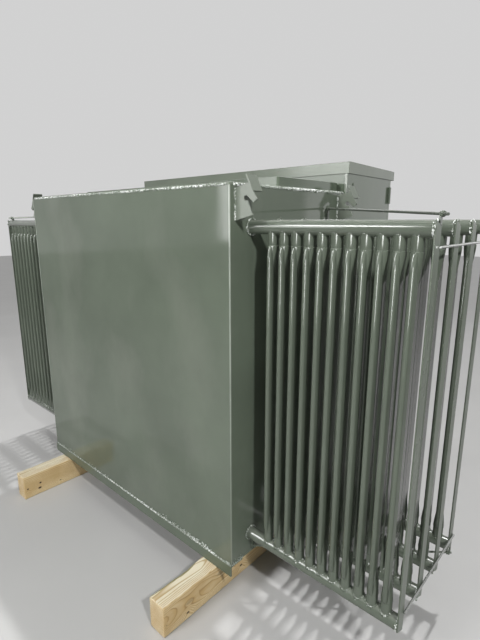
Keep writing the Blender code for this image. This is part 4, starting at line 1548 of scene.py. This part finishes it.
@dataclass
class Studio:
    """The floor, the lights and the camera."""

    lamps: tuple[SoftBox, ...] = (
        SoftBox("strip_rear", (0.4, -2.6, 4.6), (0.3, -1.2, 0.0), 5.0, 0.12, 10.0),
        SoftBox("strip_middle", (0.4, -0.6, 4.8), (0.4, -0.6, 0.0), 5.0, 0.12, 10.0),
        SoftBox("strip_front", (0.4, 1.8, 4.6), (0.4, 0.8, 0.0), 5.0, 0.12, 10.0),
        SoftBox("key_side", (3.96, -2.04, 3.72), (1.0, -0.5, 1.5), 0.28, 0.28, 474.0),
        SoftBox("key_rear", (0.1, -4.2, 3.6), (0.1, -0.5, 0.9), 1.2, 1.2, 28.0),
        SoftBox("panel_back", (-1.25, -4.5, 2.5), (1.1, -0.5, 1.5), 2.8, 2.4, 6.0, True),
        SoftBox("strip_back", (-1.25, -4.4, 2.75), (1.1, -0.5, 1.5), 2.8, 0.22, 18.0, True),
        SoftBox("panel_near", (2.6, -3.8, 1.0), (1.3, -0.5, 1.35), 1.5, 1.0, 34.0, True, 28.0),
        SoftBox("panel_right", (2.75, 4.1, 2.15), (0.8, 0.4, 1.6), 1.5, 1.2, 0.9, True),
        SoftBox("fill_front", (-2.6, 4.0, 3.2), (0.0, 0.3, 1.0), 2.4, 2.4, 3.2),
    )
    far_lamps: tuple[FarLamp, ...] = (
        FarLamp("key_high", (-0.01, 0.36, 0.93), 1.6, 0.44),
    )
    soft_level: float = 0.08
    backdrop_level: float = 0.64
    camera_place: Point = (1.8609, -1.7485, 1.5995)
    camera_turn: Point = (77.2, 0.06, 42.41)
    focal_pixels: float = 439.27
    frame_height: float = 640.0
    sensor: float = 36.0

    def build(self) -> None:
        """Set the stage."""
        self.build_floor()
        self.build_world()
        self.build_lights()
        self.build_camera()

    def build_floor(self) -> None:
        """Lay the pale floor."""
        bpy.ops.mesh.primitive_plane_add(size=40.0, location=(0.0, 0.0, -0.0005))
        floor = fresh("studio_floor")
        floor.data.materials.append(FloorFinish().build())

    def build_world(self) -> None:
        """Light softly from all round, with a pale backdrop past the floor."""
        world = bpy.data.worlds.new("studio_world")
        world.use_nodes = True
        bpy.context.scene.world = world
        tree = world.node_tree
        soft = tree.nodes["Background"]
        pale = tree.nodes.new("ShaderNodeBackground")
        for shader, strength in ((soft, self.soft_level), (pale, self.backdrop_level)):
            shader.inputs["Color"].default_value = (1.0, 1.0, 1.0, 1.0)
            shader.inputs["Strength"].default_value = strength
        path = tree.nodes.new("ShaderNodeLightPath")
        seen = path.outputs["Is Camera Ray"]
        for name in ("Is Glossy Ray", "Is Transmission Ray"):
            either = tree.nodes.new("ShaderNodeMath")
            either.operation = "MAXIMUM"
            tree.links.new(seen, either.inputs[0])
            tree.links.new(path.outputs[name], either.inputs[1])
            seen = either.outputs[0]
        mix = tree.nodes.new("ShaderNodeMixShader")
        tree.links.new(seen, mix.inputs[0])
        tree.links.new(soft.outputs[0], mix.inputs[1])
        tree.links.new(pale.outputs[0], mix.inputs[2])
        tree.links.new(mix.outputs[0], tree.nodes["World Output"].inputs["Surface"])

    def build_lights(self) -> None:
        """Hang the soft boxes and the ceiling strips, and set the far lamp."""
        for lamp in self.lamps:
            data = bpy.data.lights.new(lamp.name, "AREA")
            data.shape = "RECTANGLE"
            data.size = lamp.width
            data.size_y = lamp.height
            data.energy = lamp.power
            data.spread = math.radians(lamp.beam)
            holder = linked(lamp.name, data)
            holder.location = lamp.place
            aim = Vector(lamp.target) - Vector(lamp.place)
            holder.rotation_euler = aim.to_track_quat("-Z", "Y").to_euler()
            holder.visible_camera = False
            holder.visible_diffuse = not lamp.sheen_only
        for lamp in self.far_lamps:
            data = bpy.data.lights.new(lamp.name, "SUN")
            data.energy = lamp.level * math.pi
            data.angle = math.radians(lamp.spread)
            holder = linked(lamp.name, data)
            holder.rotation_euler = Vector(lamp.direction).to_track_quat("Z", "Y").to_euler()

    def build_camera(self) -> None:
        """Stand the camera at the photograph's viewpoint."""
        data = bpy.data.cameras.new("viewpoint")
        data.sensor_fit = "VERTICAL"
        data.sensor_height = self.sensor
        data.lens = self.focal_pixels / self.frame_height * self.sensor
        data.clip_start = 0.05
        camera = linked("viewpoint", data)
        camera.location = self.camera_place
        camera.rotation_euler = [math.radians(angle) for angle in self.camera_turn]
        bpy.context.scene.camera = camera


def numbers(bounds: tuple[Vector, Vector]) -> list[list[float]]:
    """Return a box as plain lists."""
    return [[round(float(value), 5) for value in corner] for corner in bounds]


def main() -> None:
    """Build the dressed transformer and its studio."""
    logging.basicConfig(level=logging.INFO, format="%(message)s")
    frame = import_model()
    nodes = frame["nodes"]
    bpy.context.scene.view_settings.view_transform = "Standard"
    finishes = Finishes()
    Studio().build()
    Timbers(nodes, finishes).build()
    Tank(nodes, finishes).build()
    Cabinet(nodes, finishes).build()
    RadiatorBank(nodes, finishes, Radiator()).build()
    Lugs(nodes, finishes).build()


if __name__ == "__main__":
    main()
